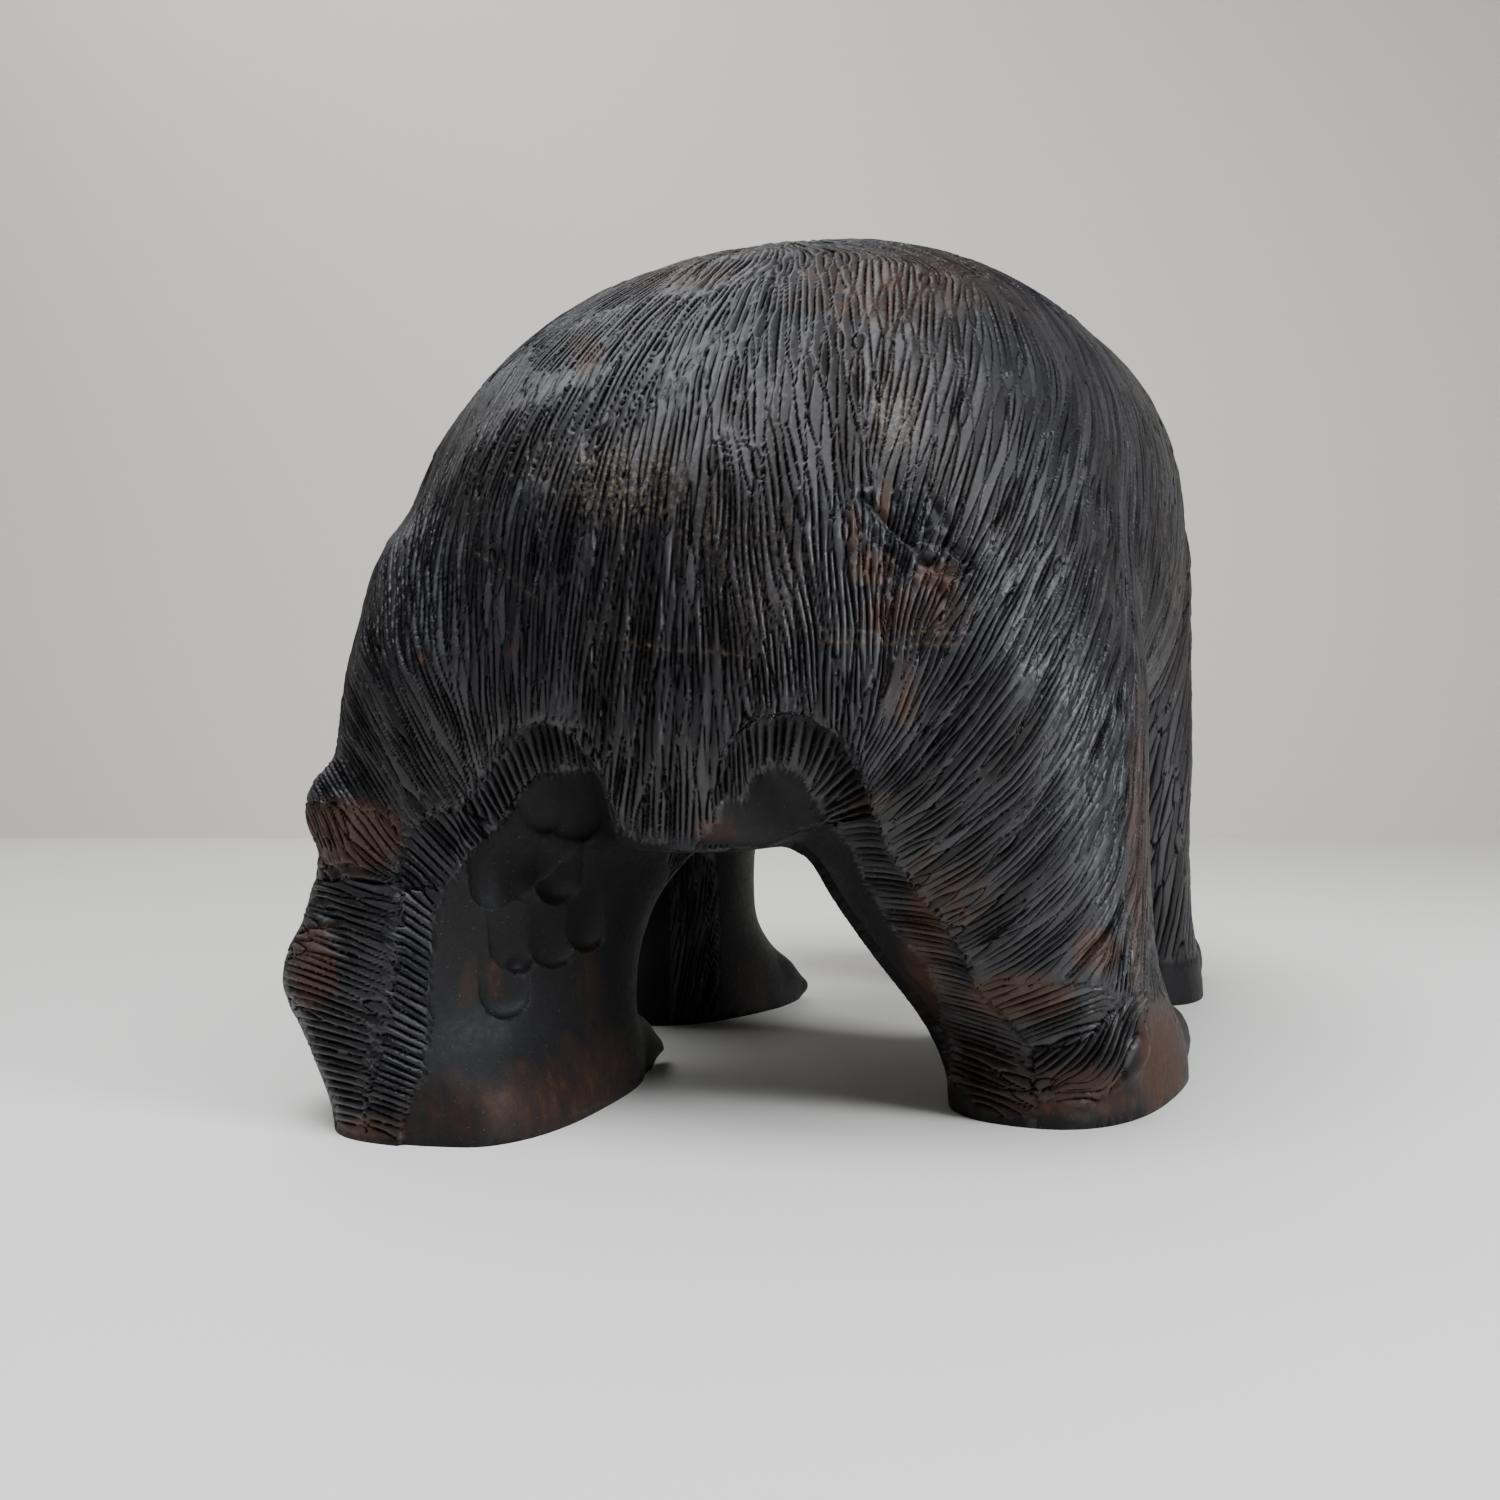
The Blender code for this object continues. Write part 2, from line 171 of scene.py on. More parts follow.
def ball(mesh, centre, radii, pitch=0.0, heading=0.0):
    """Adds an ellipsoid with the radii along x, y and z, pitched nose down, then turned right."""
    matrix = (
        Matrix.Translation(centre)
        @ Matrix.Rotation(math.radians(-heading), 4, "Z")
        @ Matrix.Rotation(math.radians(-pitch), 4, "X")
        @ Matrix.Diagonal((*radii, 1))
    )
    bmesh.ops.create_uvsphere(mesh, u_segments=28, v_segments=18, radius=1, matrix=matrix)


def neck(mesh):
    ball(mesh, (0.5, 38, 74), (28, 22, 24), 30)
    ball(mesh, (0.5, 49, 67), (22.5, 16, 18), 30)


def skull(mesh):
    ball(mesh, (0.5, 62, 62.5), (18, 15.5, 16.5), 20)
    for side in (-1, 1):
        ball(mesh, (0.5 + side * 10, 63.5, 53.5), (9.0, 10, 10), 20)
        ball(mesh, (0.5 + side * 7, 72.5, 66.5), (5.0, 4.6, 3.0), 35)


def muzzle(mesh):
    pitch = math.radians(MUZZLE_PITCH)
    deep = Vector((0, math.sin(pitch), math.cos(pitch)))
    rings = []
    for y, z, half_width, half_depth in MUZZLE:
        section = superellipse(half_width, half_depth, MUZZLE_SQUARENESS)
        rings.append([Vector((0.5 + u, y, z)) + deep * v for u, v in section])
    loft(mesh, rings)


def face(mesh):
    """Nose, eyes and ears."""
    ball(mesh, (0.5, 86.0, 53.8), (4.6, 3.0, 3.0), 30)
    for side in (-1, 1):
        ball(mesh, (0.5 + side * 8.3, 75.0, 62.2), (2.0, 2.0, 2.0))
        ball(mesh, (0.5 + side * 14.5, 60.5, 79.5), (6.2, 3.4, 6.6), 8, side * 14)


def tufts(mesh):
    """The bunched fur that stands out at the hocks."""
    ball(mesh, (-34.4, -59.5, 13.4), (8.4, 10, 7.8), 6, 15)
    ball(mesh, (-33.0, -59, 29.3), (7.6, 9.5, 6.6), 6, 15)
    ball(mesh, (27.5, -45.5, 15.2), (11.0, 6.5, 5.8), 0, -12)
    ball(mesh, (31.5, -43.5, 7.2), (8.0, 6.0, 4.4), 0, -12)


def level_way(heading):
    turn = math.radians(heading)
    return Vector((math.sin(turn), math.cos(turn), 0))


def toes(mesh, x, y, heading, spread, length):
    """Toes across the front of a paw, the middle one furthest ahead, each with its claw."""
    ahead = level_way(heading)
    aside = Vector((ahead.y, -ahead.x, 0))
    middle = (TOES - 1) / 2
    for i in range(TOES):
        off = i - middle
        fan = heading + 7 * off
        centre = Vector((x, y, 2.6)) + aside * (off * spread) - ahead * (0.9 * off * off)
        ball(mesh, centre, (spread * 0.6, length, 5.0), 6, fan)
        claw = centre + level_way(fan) * (length * 0.9) - Vector((0, 0, 0.4))
        ball(mesh, claw, (1.15, 3.2, 1.7), 22, fan)


def paws(mesh):
    toes(mesh, -26.4, -36, -2, 4.3, 8)
    toes(mesh, 30.0, -12, 4, 4.3, 8)
    toes(mesh, -23.0, 15.2, 12, 4.0, 7.3)
    toes(mesh, 30, 54.0, -8, 4.3, 7.5)


def groin_hollows(mesh):
    """The two hollows that leave the tail standing between them."""
    ball(mesh, (-12.6, -75, 26.5), (8.9, 13, 12.2))
    ball(mesh, (12.0, -74, 26), (8.8, 13, 12.6))


def body_of(builders):
    """The builders' bodies as one mesh, left as separate shells."""
    mesh = bmesh.new()
    for build in builders:
        build(mesh)
    bmesh.ops.recalc_face_normals(mesh, faces=mesh.faces)
    data = bpy.data.meshes.new("body")
    mesh.to_mesh(data)
    mesh.free()
    return data


def applied(obj):
    """The object's mesh with its modifiers applied. The object is removed."""
    evaluated = obj.evaluated_get(bpy.context.evaluated_depsgraph_get())
    mesh = bpy.data.meshes.new_from_object(evaluated)
    bpy.data.objects.remove(obj)
    return mesh


def placed(data, name):
    """A new object that shows the data."""
    obj = bpy.data.objects.new(name, data)
    bpy.context.scene.collection.objects.link(obj)
    return obj


def fused(mesh, voxel, smoothing, base=None):
    """The shells of the mesh, and the base if any, made one closed body and rubbed down."""
    if base:
        both = bmesh.new()
        both.from_mesh(mesh)
        both.from_mesh(base)
        both.to_mesh(mesh)
        both.free()
    obj = placed(mesh, "fused")
    fuse = obj.modifiers.new("fuse", "REMESH")
    fuse.mode = "VOXEL"
    fuse.voxel_size = voxel
    rub = obj.modifiers.new("rub", "SMOOTH")
    rub.factor = 0.5
    rub.iterations = smoothing
    return applied(obj)


def cut(base, cutter_mesh):
    """The base mesh with the cutter's volume taken away."""
    obj = placed(base, "base")
    tool = placed(cutter_mesh, "tool")
    gouge = obj.modifiers.new("gouge", "BOOLEAN")
    gouge.operation = "DIFFERENCE"
    gouge.solver = "MANIFOLD"
    gouge.object = tool
    mesh = applied(obj)
    bpy.data.objects.remove(tool)
    return mesh


def block():
    """The bear's whole form before its fur is carved."""
    form = fused(body_of((torso, legs, neck)), BODY_VOXEL, BODY_SMOOTHING)
    form = fused(body_of((skull, muzzle, face, tufts, paws)), DETAIL_VOXEL, DETAIL_SMOOTHING, form)
    form = cut(form, body_of((groin_hollows,)))
    form = fused(form, RIM_VOXEL, RIM_SMOOTHING)
    obj = placed(form, "block")
    rounded = obj.modifiers.new("rounded", "SUBSURF")
    rounded.levels = 1
    rounded.render_levels = 1
    return applied(obj)


def points_and_faces(mesh):
    """The mesh's points and triangles as arrays."""
    mesh.calc_loop_triangles()
    points = np.empty(len(mesh.vertices) * 3)
    mesh.vertices.foreach_get("co", points)
    faces = np.empty(len(mesh.loop_triangles) * 3, dtype=np.int32)
    mesh.loop_triangles.foreach_get("vertices", faces)
    return points.reshape(-1, 3), faces.reshape(-1, 3).astype(np.int64)


def length(vectors):
    return np.linalg.norm(vectors, axis=1)


def unit(vectors):
    return vectors / np.maximum(length(vectors), 1e-12)[:, None]


def normals_of(points, faces):
    """The normal at each point, where larger triangles count for more."""
    corner = points[faces]
    flat = np.cross(corner[:, 1] - corner[:, 0], corner[:, 2] - corner[:, 0])
    each = [np.bincount(faces.ravel(), np.repeat(flat[:, k], 3), len(points)) for k in range(3)]
    return unit(np.stack(each, axis=1))


# How a triangle is split, by how many sides are cut: the corners of each part, where 0 to 2 are
# its own and 3 to 5 the middles of the sides that follow them.
PARTS = {
    0: ((0, 1, 2),),
    3: ((0, 3, 5), (1, 4, 3), (2, 5, 4), (3, 4, 5)),
    1: ((0, 3, 2), (3, 1, 2)),
    2: ((3, 1, 4), (0, 3, 4), (0, 4, 2)),
}


def split(points, faces, marked):
    """Cuts the marked triangles in four, and their neighbours so that no gap opens."""
    count = len(points)
    sides = np.sort(np.concatenate((faces[:, (0, 1)], faces[:, (1, 2)], faces[:, (2, 0)])), axis=1)
    edges, number = np.unique(sides[:, 0] * count + sides[:, 1], return_inverse=True)
    number = number.reshape(3, len(faces)).T
    halved = np.zeros(len(edges), bool)
    halved[number[marked].ravel()] = True
    start, end = edges[halved] // count, edges[halved] % count
    normals = normals_of(points, faces)
    middle = (points[start] + points[end]) / 2
    for corner in (start, end):
        n = normals[corner]
        middle = middle - ROUNDING * n * np.sum((middle - points[corner]) * n, axis=1)[:, None]
    fresh = np.full(len(edges), -1)
    fresh[halved] = count + np.arange(int(halved.sum()))
    cuts = halved[number]
    how_many = cuts.sum(axis=1)
    # Each triangle is turned so that its cut sides come first.
    first = np.where(how_many == 2, np.argmin(cuts, axis=1) + 1, np.argmax(cuts, axis=1))
    turn = (first[:, None] + np.arange(3)) % 3
    corners = [np.take_along_axis(each, turn, axis=1) for each in (faces, fresh[number])]
    corners = np.concatenate(corners, axis=1)
    parts = [corners[how_many == cut_sides][:, part]
             for cut_sides, shapes in PARTS.items() for part in shapes]
    return np.concatenate((points, middle)), np.concatenate(parts)


def ramp(values, low, high):
    """0 below low, 1 above high, eased between."""
    t = np.clip((values - low) / (high - low), 0, 1)
    return t * t * (3 - 2 * t)


def sight(points):
    """Where the camera sees each point: across and down its picture, in 1500ths of its width."""
    offset = points - EYE
    depth = offset @ AHEAD
    return PICTURE * (0.5 + offset @ ASIDE / depth), PICTURE * (0.5 - offset @ UP / depth)


def facing(points, normals):
    """How squarely each point faces the camera: 1 is straight at it and 0 edge on."""
    offset = EYE - points
    return np.sum(offset * normals, axis=1) / length(offset)


def in_view(points, normals, least, foremost):
    """Whether each point faces the camera at least so squarely, behind the foremost y."""
    return (facing(points, normals) > least) & (points[:, 1] < foremost)


def bell(away, reach):
    """1 at no distance, down to 0.37 at the reach."""
    return np.exp(-(away / reach) ** 2)


def dome(away, radius):
    """1 at no distance, 0 from the radius on."""
    return np.clip(1 - (away / radius) ** 2, 0, 1)


def inside(across, down, outline):
    """Whether each place of the picture lies inside the outline."""
    within = np.zeros(len(across), bool)
    for (x0, y0), (x1, y1) in zip(outline, outline[1:] + outline[:1]):
        if y0 == y1:
            continue
        crosses = (y0 > down) != (y1 > down)
        within ^= crosses & (across < (x1 - x0) * (down - y0) / (y1 - y0) + x0)
    return within


# The lie of the fur on the rear: a place in the picture, and how many degrees a stroke that
# runs down from it leans to the right.
OPEN_FUR = (
    (740, 270, -53), (700, 300, -41), (750, 300, -20), (785, 300, -5), (650, 300, -49),
    (600, 320, -46), (550, 340, -45), (650, 350, -33), (600, 400, -25), (550, 400, -30),
    (500, 400, -33), (700, 350, -20), (750, 350, -5), (700, 400, -7), (650, 450, -11),
    (550, 450, -20), (480, 450, -25), (450, 500, -17), (550, 500, -14), (650, 500, -7),
    (420, 530, -12), (500, 550, -5), (600, 550, -9), (450, 600, 0), (400, 600, -1),
    (650, 600, -7), (700, 600, 3), (750, 600, 9), (780, 600, 14), (600, 650, -9),
    (650, 680, -7), (550, 680, -5), (480, 680, 1), (430, 700, 25), (360, 690, 24),
    (700, 680, 2), (750, 700, 7), (820, 300, 0), (850, 320, 2), (900, 300, -3),
    (950, 300, -3), (1000, 300, 20), (1050, 330, 26), (1100, 370, 14), (1130, 400, 11),
    (800, 350, 1), (850, 400, 2), (800, 450, 9), (750, 450, 9), (850, 480, 6),
    (900, 400, -13), (950, 400, -12), (1000, 400, -5), (1050, 430, -15), (900, 450, -15),
    (950, 480, -17), (1000, 480, -17), (1050, 500, -20), (1090, 480, -9), (1110, 520, 0),
    (950, 550, -23), (1000, 550, -27), (1050, 560, -24), (1100, 560, -15), (1125, 600, 1),
    (1000, 600, -30), (950, 620, -30), (900, 640, -9), (870, 650, 0), (1050, 620, -27),
    (1100, 620, -18), (850, 600, 6), (800, 600, 11), (800, 700, 7), (850, 700, 0),
    (900, 700, -21), (950, 700, -37), (1000, 700, -37), (1050, 700, -30), (1100, 680, -20),
    (1135, 700, -1), (900, 750, -34), (950, 750, -41), (1000, 750, -41), (1050, 760, -33),
    (1100, 750, -24), (1140, 780, -2), (900, 800, -48), (1000, 800, -49), (950, 830, -53),
    (1050, 820, -41), (1100, 830, -30), (1130, 850, -9), (920, 835, -62), (1000, 880, -49),
    (950, 880, -61), (1050, 900, -46), (1100, 900, -37), (1120, 900, -19), (1000, 930, -58),
    (950, 930, -66), (1050, 950, -53), (1000, 980, -64), (1090, 950, -45), (1130, 950, -3),
    (1135, 1000, -6), (440, 760, 30), (400, 720, 28), (470, 740, 15), (500, 740, 6),
    (550, 700, 1), (600, 700, -5), (650, 750, -3), (620, 780, -9), (700, 780, 2),
    (680, 810, -1), (380, 740, 33), (350, 760, 30), (480, 790, 30), (430, 800, 38),
    (350, 800, 34),
)
# Lines in the picture: the right leg's edge, the foot of the fringe inside it, and the left
# leg's edge.
RIGHT_ARRIS = (
    (812, 720), (840, 740), (855, 770), (870, 805), (885, 850), (920, 900), (945, 930),
    (960, 950), (975, 990), (1000, 1010), (1028, 1045),
)
FRINGE_FOOT = (
    (745, 800), (755, 775), (780, 768), (800, 775), (822, 815), (838, 835), (852, 852),
    (862, 880), (895, 935), (925, 965), (938, 1000), (940, 1030), (948, 1078), (985, 1114),
    (1040, 1122),
)
LEFT_ARRIS = (
    (500, 828), (475, 850), (445, 887), (433, 925), (430, 975), (427, 1025), (423, 1080),
    (405, 1115),
)
# Where the fur lies a way of its own: the outline in the picture, and guides as above.
REGIONS = {
    "left arch": (
        ((462, 812), (490, 775), (508, 750), (530, 725), (558, 719), (585, 735), (600, 772),
         (575, 771), (540, 776), (515, 803), (500, 828)),
        ((485, 810, 32), (500, 790, 22), (520, 760, 17), (550, 745, 9), (585, 755, 8)),
    ),
    "right fringe": (
        ((715, 800), (722, 760), (735, 738), (752, 722), (780, 717), *RIGHT_ARRIS,
         (1035, 1100), *reversed(FRINGE_FOOT), (735, 805)),
        ((735, 790, 3), (750, 740, 6), (780, 740, -3), (800, 750, -9), (815, 770, -24),
         (830, 790, -45), (840, 820, -72), (860, 840, -85), (875, 850, -93), (890, 870, -98),
         (915, 905, -96), (925, 940, -101), (955, 995, -104), (975, 1030, -107),
         (990, 1080, -111), (1025, 1105, -114)),
    ),
    "slanting row": (
        ((395, 835), (430, 812), (462, 812), (500, 828), (475, 850), (445, 887), (400, 887),
         (398, 860)),
        ((430, 850, 44), (470, 830, 40), (420, 880, 50)),
    ),
    "inner row": (
        ((400, 887), *LEFT_ARRIS[2:], (398, 1145), (362, 1145), (365, 1100), (378, 1050),
         (390, 1000), (398, 940)),
        ((420, 900, 50), (420, 945, 53), (415, 995, 58), (400, 1050, 66), (390, 1100, 71)),
    ),
    "outer row": (
        ((400, 887), (398, 940), (390, 1000), (378, 1050), (365, 1100), (362, 1145), (270, 1145),
         (270, 985), (290, 930), (290, 870), (345, 862)),
        ((365, 905, 75), (370, 950, 68), (350, 1000, 70), (345, 1050, 75), (345, 1100, 78)),
    ),
    "left hock": (
        ((290, 800), (345, 805), (375, 812), (398, 838), (400, 887), (345, 862), (290, 880)),
        ((325, 840, 20), (375, 835, 37), (375, 880, 62), (350, 865, 50)),
    ),
    "right hock": (
        ((975, 992), (1040, 985), (1100, 985), (1118, 1005), (1100, 1030), (1060, 1048),
         (1028, 1048), (1000, 1015)),
        ((1000, 1005, -73), (1060, 1010, -71), (1050, 1035, -70)),
    ),
    "right heel": (
        ((1028, 1048), (1060, 1048), (1100, 1030), (1118, 1005), (1145, 990), (1150, 1005),
         (1135, 1055), (1115, 1090), (1080, 1108), (1035, 1100)),
        ((1060, 1070, -50), (1100, 1060, -37), (1120, 1050, -19), (1040, 1095, -84), (1080, 1095, -88)),
    ),
}
# Where the rear is left smooth.
LEFT_PANEL = (
    (500, 828), (515, 803), (540, 776), (575, 771), (600, 772), (613, 832), (650, 845),
    (670, 845), (670, 1100), (560, 1160), (430, 1165), (398, 1150), *LEFT_ARRIS[:0:-1],
)
RIGHT_HOLLOW = (
    *FRINGE_FOOT, (1040, 1140), (930, 1120), (800, 900), (770, 849), (720, 845), (700, 845),
    (718, 820), (728, 800),
)
RIGHT_FOOT = (
    (1150, 1000), (1160, 990), (1200, 1030), (1200, 1140), (1040, 1140), (1035, 1100),
    (1080, 1108), (1115, 1090), (1135, 1055),
)
# How deep the wood is cut back beside each arris in shares, and how quickly in the picture.
RIGHT_CUT = (1.5, 14)
LEFT_CUT = (0.6, 9)
# Creases of the rear: a line in the picture, the depth in shares, and half the width.
CREASES = (
    (((1030, 1048), (1060, 1041), (1100, 1020), (1120, 1000)), 0.3, 8),
    (((304, 872), (318, 877), (345, 872), (372, 882)), 0.35, 8),
    (((318, 903), (332, 922), (343, 952)), 0.6, 10),
    (((1050, 1108), (1085, 1112), (1118, 1094), (1136, 1060)), 0.35, 7),
)
# Cracks round the knot in the right buttock, and its hole, given as the creases are.
CRACKS = (
    (((862, 494), (878, 512), (897, 533), (916, 548), (938, 571)), 0.7, 4.0),
    (((924, 557), (931, 561)), 1.3, 6.0),
    (((905, 541), (925, 536), (948, 545), (966, 560)), 0.5, 3.5),
    (((876, 540), (893, 552), (905, 572)), 0.45, 3.5),
    (((940, 571), (958, 574), (972, 568)), 0.5, 3.5),
)
# The pits round the hole: how many, their middle and scatter across and down the picture, and
# their least and greatest depth and reach.
PITS = 90
PITS_ACROSS, PITS_DOWN = (912, 24), (550, 26)
PIT_DEPTH, PIT_REACH = (0.12, 0.4), (2.5, 6)
# Shallow pale scratches: a line in the picture and how far apart its ticks are.
SCRATCH_DEPTH = 0.08
SCRATCH_REACH = 1.3
SCRATCHES = (
    (((822, 629), (880, 632), (968, 631)), 13),
    (((818, 641), (880, 643), (965, 644)), 9),
    (((468, 548), (505, 574), (542, 603)), 11),
    (((600, 634), (660, 648), (756, 657)), 15),
)
# Brown worn wood and tan dust: the middle of each patch, half its width and height, its strength.
WORN = (
    (345, 836, 62, 38, 1.0), (312, 966, 24, 44, 0.9), (1016, 998, 56, 26, 1.0),
    (1098, 950, 28, 24, 0.7), (962, 895, 36, 38, 0.45), (1084, 1085, 44, 20, 0.7),
    (926, 935, 26, 90, 0.6), (550, 1108, 160, 46, 0.42), (600, 1066, 66, 44, 0.36),
    (985, 1085, 50, 44, 0.3), (588, 985, 18, 60, 0.34), (470, 985, 16, 40, 0.26),
    (1162, 1062, 24, 62, 0.95), (886, 497, 8, 24, 0.8), (853, 530, 9, 28, 0.5),
    (872, 566, 28, 22, 0.62), (938, 578, 24, 20, 0.75), (915, 612, 62, 34, 0.42),
    (903, 690, 24, 42, 0.36), (890, 285, 120, 48, 0.42),
    (680, 274, 70, 18, 0.4), (585, 350, 20, 24, 0.5), (495, 980, 8, 22, 0.6),
    (520, 1065, 6, 7, 0.7), (512, 650, 5, 7, 1.0), (420, 658, 5, 5, 1.0),
    (1139, 850, 12, 190, 0.4), (1165, 830, 22, 60, 0.6), (1060, 1105, 110, 16, 0.5),
    (760, 1000, 40, 60, 0.35), (870, 800, 40, 20, 0.3), (375, 1130, 60, 16, 0.5),
    (715, 830, 30, 14, 0.5),
)
DUST = (
    (622, 480, 66, 46, 0.75), (896, 415, 27, 40, 0.8), (700, 520, 40, 50, 0.3),
    (760, 560, 60, 80, 0.25), (560, 460, 30, 30, 0.4),
)
# Gouge cuts down the left leg's smooth inner side: the top and the bottom of each, half its
# width, and its depth as a part of SCOOP_DEPTH shares.
SCOOP_DEPTH = 1.8
SCOOPS = (
    (484, 800, 497, 911, 24, 0.55), (505, 880, 516, 972, 24, 0.6),
    (522, 800, 533, 905, 24, 0.5), (546, 870, 556, 968, 27, 0.65),
    (556, 826, 561, 907, 25, 1.25), (583, 868, 587, 952, 19, 0.8),
    (502, 950, 507, 1019, 26, 0.6), (519, 935, 521, 975, 13, 0.9),
    (560, 780, 582, 842, 30, 0.5), (534, 776, 552, 834, 26, 0.45),
)


def spread_lean(across, down, guides):
    """The lean at each place, from the guides near it, as a direction in the picture."""
    guides = np.array(guides, float)
    total = np.zeros((len(across), 2))
    leans = np.radians(guides[:, 2])
    for (x, y), lean in zip(guides[:, :2], leans):
        near = 1 / ((across - x) ** 2 + (down - y) ** 2 + 60) ** 1.6
        total += near[:, None] * np.array((math.sin(lean), math.cos(lean)))
    return unit(total)


def along_surface(points, normals, direction):
    """The way along the surface that the camera sees run in the direction."""
    offset = points - EYE
    depth = (offset @ AHEAD)[:, None]
    across = (ASIDE * depth - (offset @ ASIDE)[:, None] * AHEAD) / depth
    down = -(UP * depth - (offset @ UP)[:, None] * AHEAD) / depth
    level = direction[:, 1:] * across - direction[:, :1] * down
    way = np.cross(normals, level)
    towards = np.sum(way * (direction[:, :1] * across + direction[:, 1:] * down), axis=1)
    return unit(way * np.sign(towards)[:, None])


def plain_lie(points, normals):
    """The way the fur lies on the sides out of view."""
    x, y, z = points.T
    side = np.sign(x) * ramp(np.abs(x), 0, 12)
    thigh = ramp(y, -12, -34) * ramp(62 - z, 0, 30)
    lie = np.stack((
        0.9 * side * ramp(z, 60, 90) - 0.75 * side * thigh,
        -0.55 * ramp(y, -45, 0) * ramp(z, 30, 60) - 0.2,
        -1.0 + 0 * z,
    ), axis=1)
    headward = ramp(y, 58, 68) * ramp(z, 38, 46)
    lie = lie * (1 - headward[:, None]) + headward[:, None] * np.array((0, -1.0, 0.7))
    return unit(lie - normals * np.sum(lie * normals, axis=1)[:, None])


def plain_bare(points, normals):
    """1 where the sides out of view are smooth: soles, inner legs, belly and snout."""
    x, y, z = points.T
    inward = -np.sign(x) * normals[:, 0]
    between_legs = ramp(28 - z, 0, 3) * ramp(inward, 0.35, 0.6)
    underneath = ramp(-normals[:, 2], 0.55, 0.75) * ramp(40 - z, 0, 3)
    snout = ramp(y, 76, 79) * ramp(66 - z, 0, 2)
    paw = ramp(7 - z, 0, 1.5) * ramp(y, -40, -30)
    return np.clip(between_legs + underneath + snout + paw, 0, 1)


PLAIN, OPEN, BARE, FIRST_REGION = 0, 1, 2, 3
REGION_NUMBERS = range(FIRST_REGION, FIRST_REGION + len(REGIONS))
BARELY_SEEN = 0.1


def zones(points, normals):
    """Which zone each point is in: PLAIN, OPEN, BARE, or the number of a region."""
    z = points[:, 2]
    across, down = sight(points)
    seen = in_view(points, normals, BARELY_SEEN, -4)
    zone = np.where(plain_bare(points, normals) > 0.5, BARE, PLAIN)
    zone[seen] = OPEN
    for number, (outline, _) in enumerate(REGIONS.values(), FIRST_REGION):
        zone[seen & inside(across, down, outline)] = number
    for outline in (LEFT_PANEL, RIGHT_HOLLOW, RIGHT_FOOT):
        zone[seen & inside(across, down, outline)] = BARE
    under = (normals[:, 2] < -0.6) & (z < 40)
    zone[under & (zone <= OPEN) & (facing(points, normals) < BARELY_SEEN)] = BARE
    for eye in EYES:
        zone[length(points - eye) < EYE_SMOOTH] = BARE
    zone[z < 0.6] = BARE
    return zone


def lie_of_fur(points, normals, zone):
    """The way the fur lies at each point, as unit vectors along the surface."""
    lie = plain_lie(points, normals)
    across, down = sight(points)
    guides = [OPEN_FUR] + [guides for _, guides in REGIONS.values()]
    for number, guide in zip((OPEN, *REGION_NUMBERS), guides):
        chosen = zone == number
        if chosen.any():
            direction = spread_lean(across[chosen], down[chosen], guide)
            way = along_surface(points[chosen], normals[chosen], direction)
            if number == OPEN:
                share = ramp(facing(points[chosen], normals[chosen]), BARELY_SEEN, 0.32)[:, None]
                way = unit(share * way + (1 - share) * lie[chosen])
            lie[chosen] = way
    return lie


class Grid:
    """Points filed by cell, to tell which lie near a place."""

    def __init__(self, cell):
        self.cell = cell
        self.cells = {}

    def key(self, point):
        return tuple(int(math.floor(value / self.cell)) for value in point)

    def add(self, point, line):
        self.cells.setdefault(self.key(point), []).append((point, line))

    def crowded(self, point, line, distance):
        i, j, k = self.key(point)
        for a in (i - 1, i, i + 1):
            for b in (j - 1, j, j + 1):
                for c in (k - 1, k, k + 1):
                    for other, owner in self.cells.get((a, b, c), ()):
                        if owner != line and (other - point).length < distance:
                            return True
        return False


def filed(points):
    tree = KDTree(len(points))
    for i, point in enumerate(points):
        tree.insert(point, i)
    tree.balance()
    return tree


# A line of fur is followed in steps. It starts where no other is nearer than START_GAP of the
# spacing, ends where one is nearer than END_GAP of it, and starts others beside it.
STEP = 0.5
START_GAP = 0.74
END_GAP = 0.5
FEWEST_PLACES = 4
SIDE_STARTS = 5


def comb(tree, points, normals, lie, covered, spacing, lengths, chance):
    """Lines of fur along the surface, each as pairs of a place and the point nearest to it.

    Each new line starts beside one that is there already, so that no gaps are left between them.
    """
    order = np.flatnonzero(covered).tolist()
    chance.shuffle(order)
    grid = Grid(float(spacing[covered].max()) if order else 1.0)
    lines = []
    beside = []
    while beside or order:
        start = beside.pop() if beside else order.pop()
        origin = Vector(points[start])
        gap = spacing[start]
        number = len(lines)
        if grid.crowded(origin, number, gap * START_GAP):
            continue
        reach = chance.uniform(*lengths) / 2
        line = [(origin, start)]
        for way in (1, -1):
            here, index, gone = origin, start, 0.0
            stretch = []
            while gone < reach:
                there = here + Vector(lie[index]) * (way * STEP)
                near, index, _ = tree.find(there)
                normal = Vector(normals[index])
                there -= normal * (there - near).dot(normal)
                if not covered[index] or grid.crowded(there, number, gap * END_GAP):
                    break
                stretch.append((there, index))
                here = there
                gone += STEP
            line = line + stretch if way > 0 else stretch[::-1] + line
        if len(line) < FEWEST_PLACES:
            continue
        for place, _ in line:
            grid.add(place, number)
        lines.append(line)
        for i in chance.sample(range(len(line)), min(len(line), SIDE_STARTS)):
            place, index = line[i]
            sideways = Vector(normals[index]).cross(Vector(lie[index]))
            for side in (1, -1):
                found = tree.find(place + sideways * (side * gap))[1]
                if covered[found]:
                    beside.append(found)
    return lines


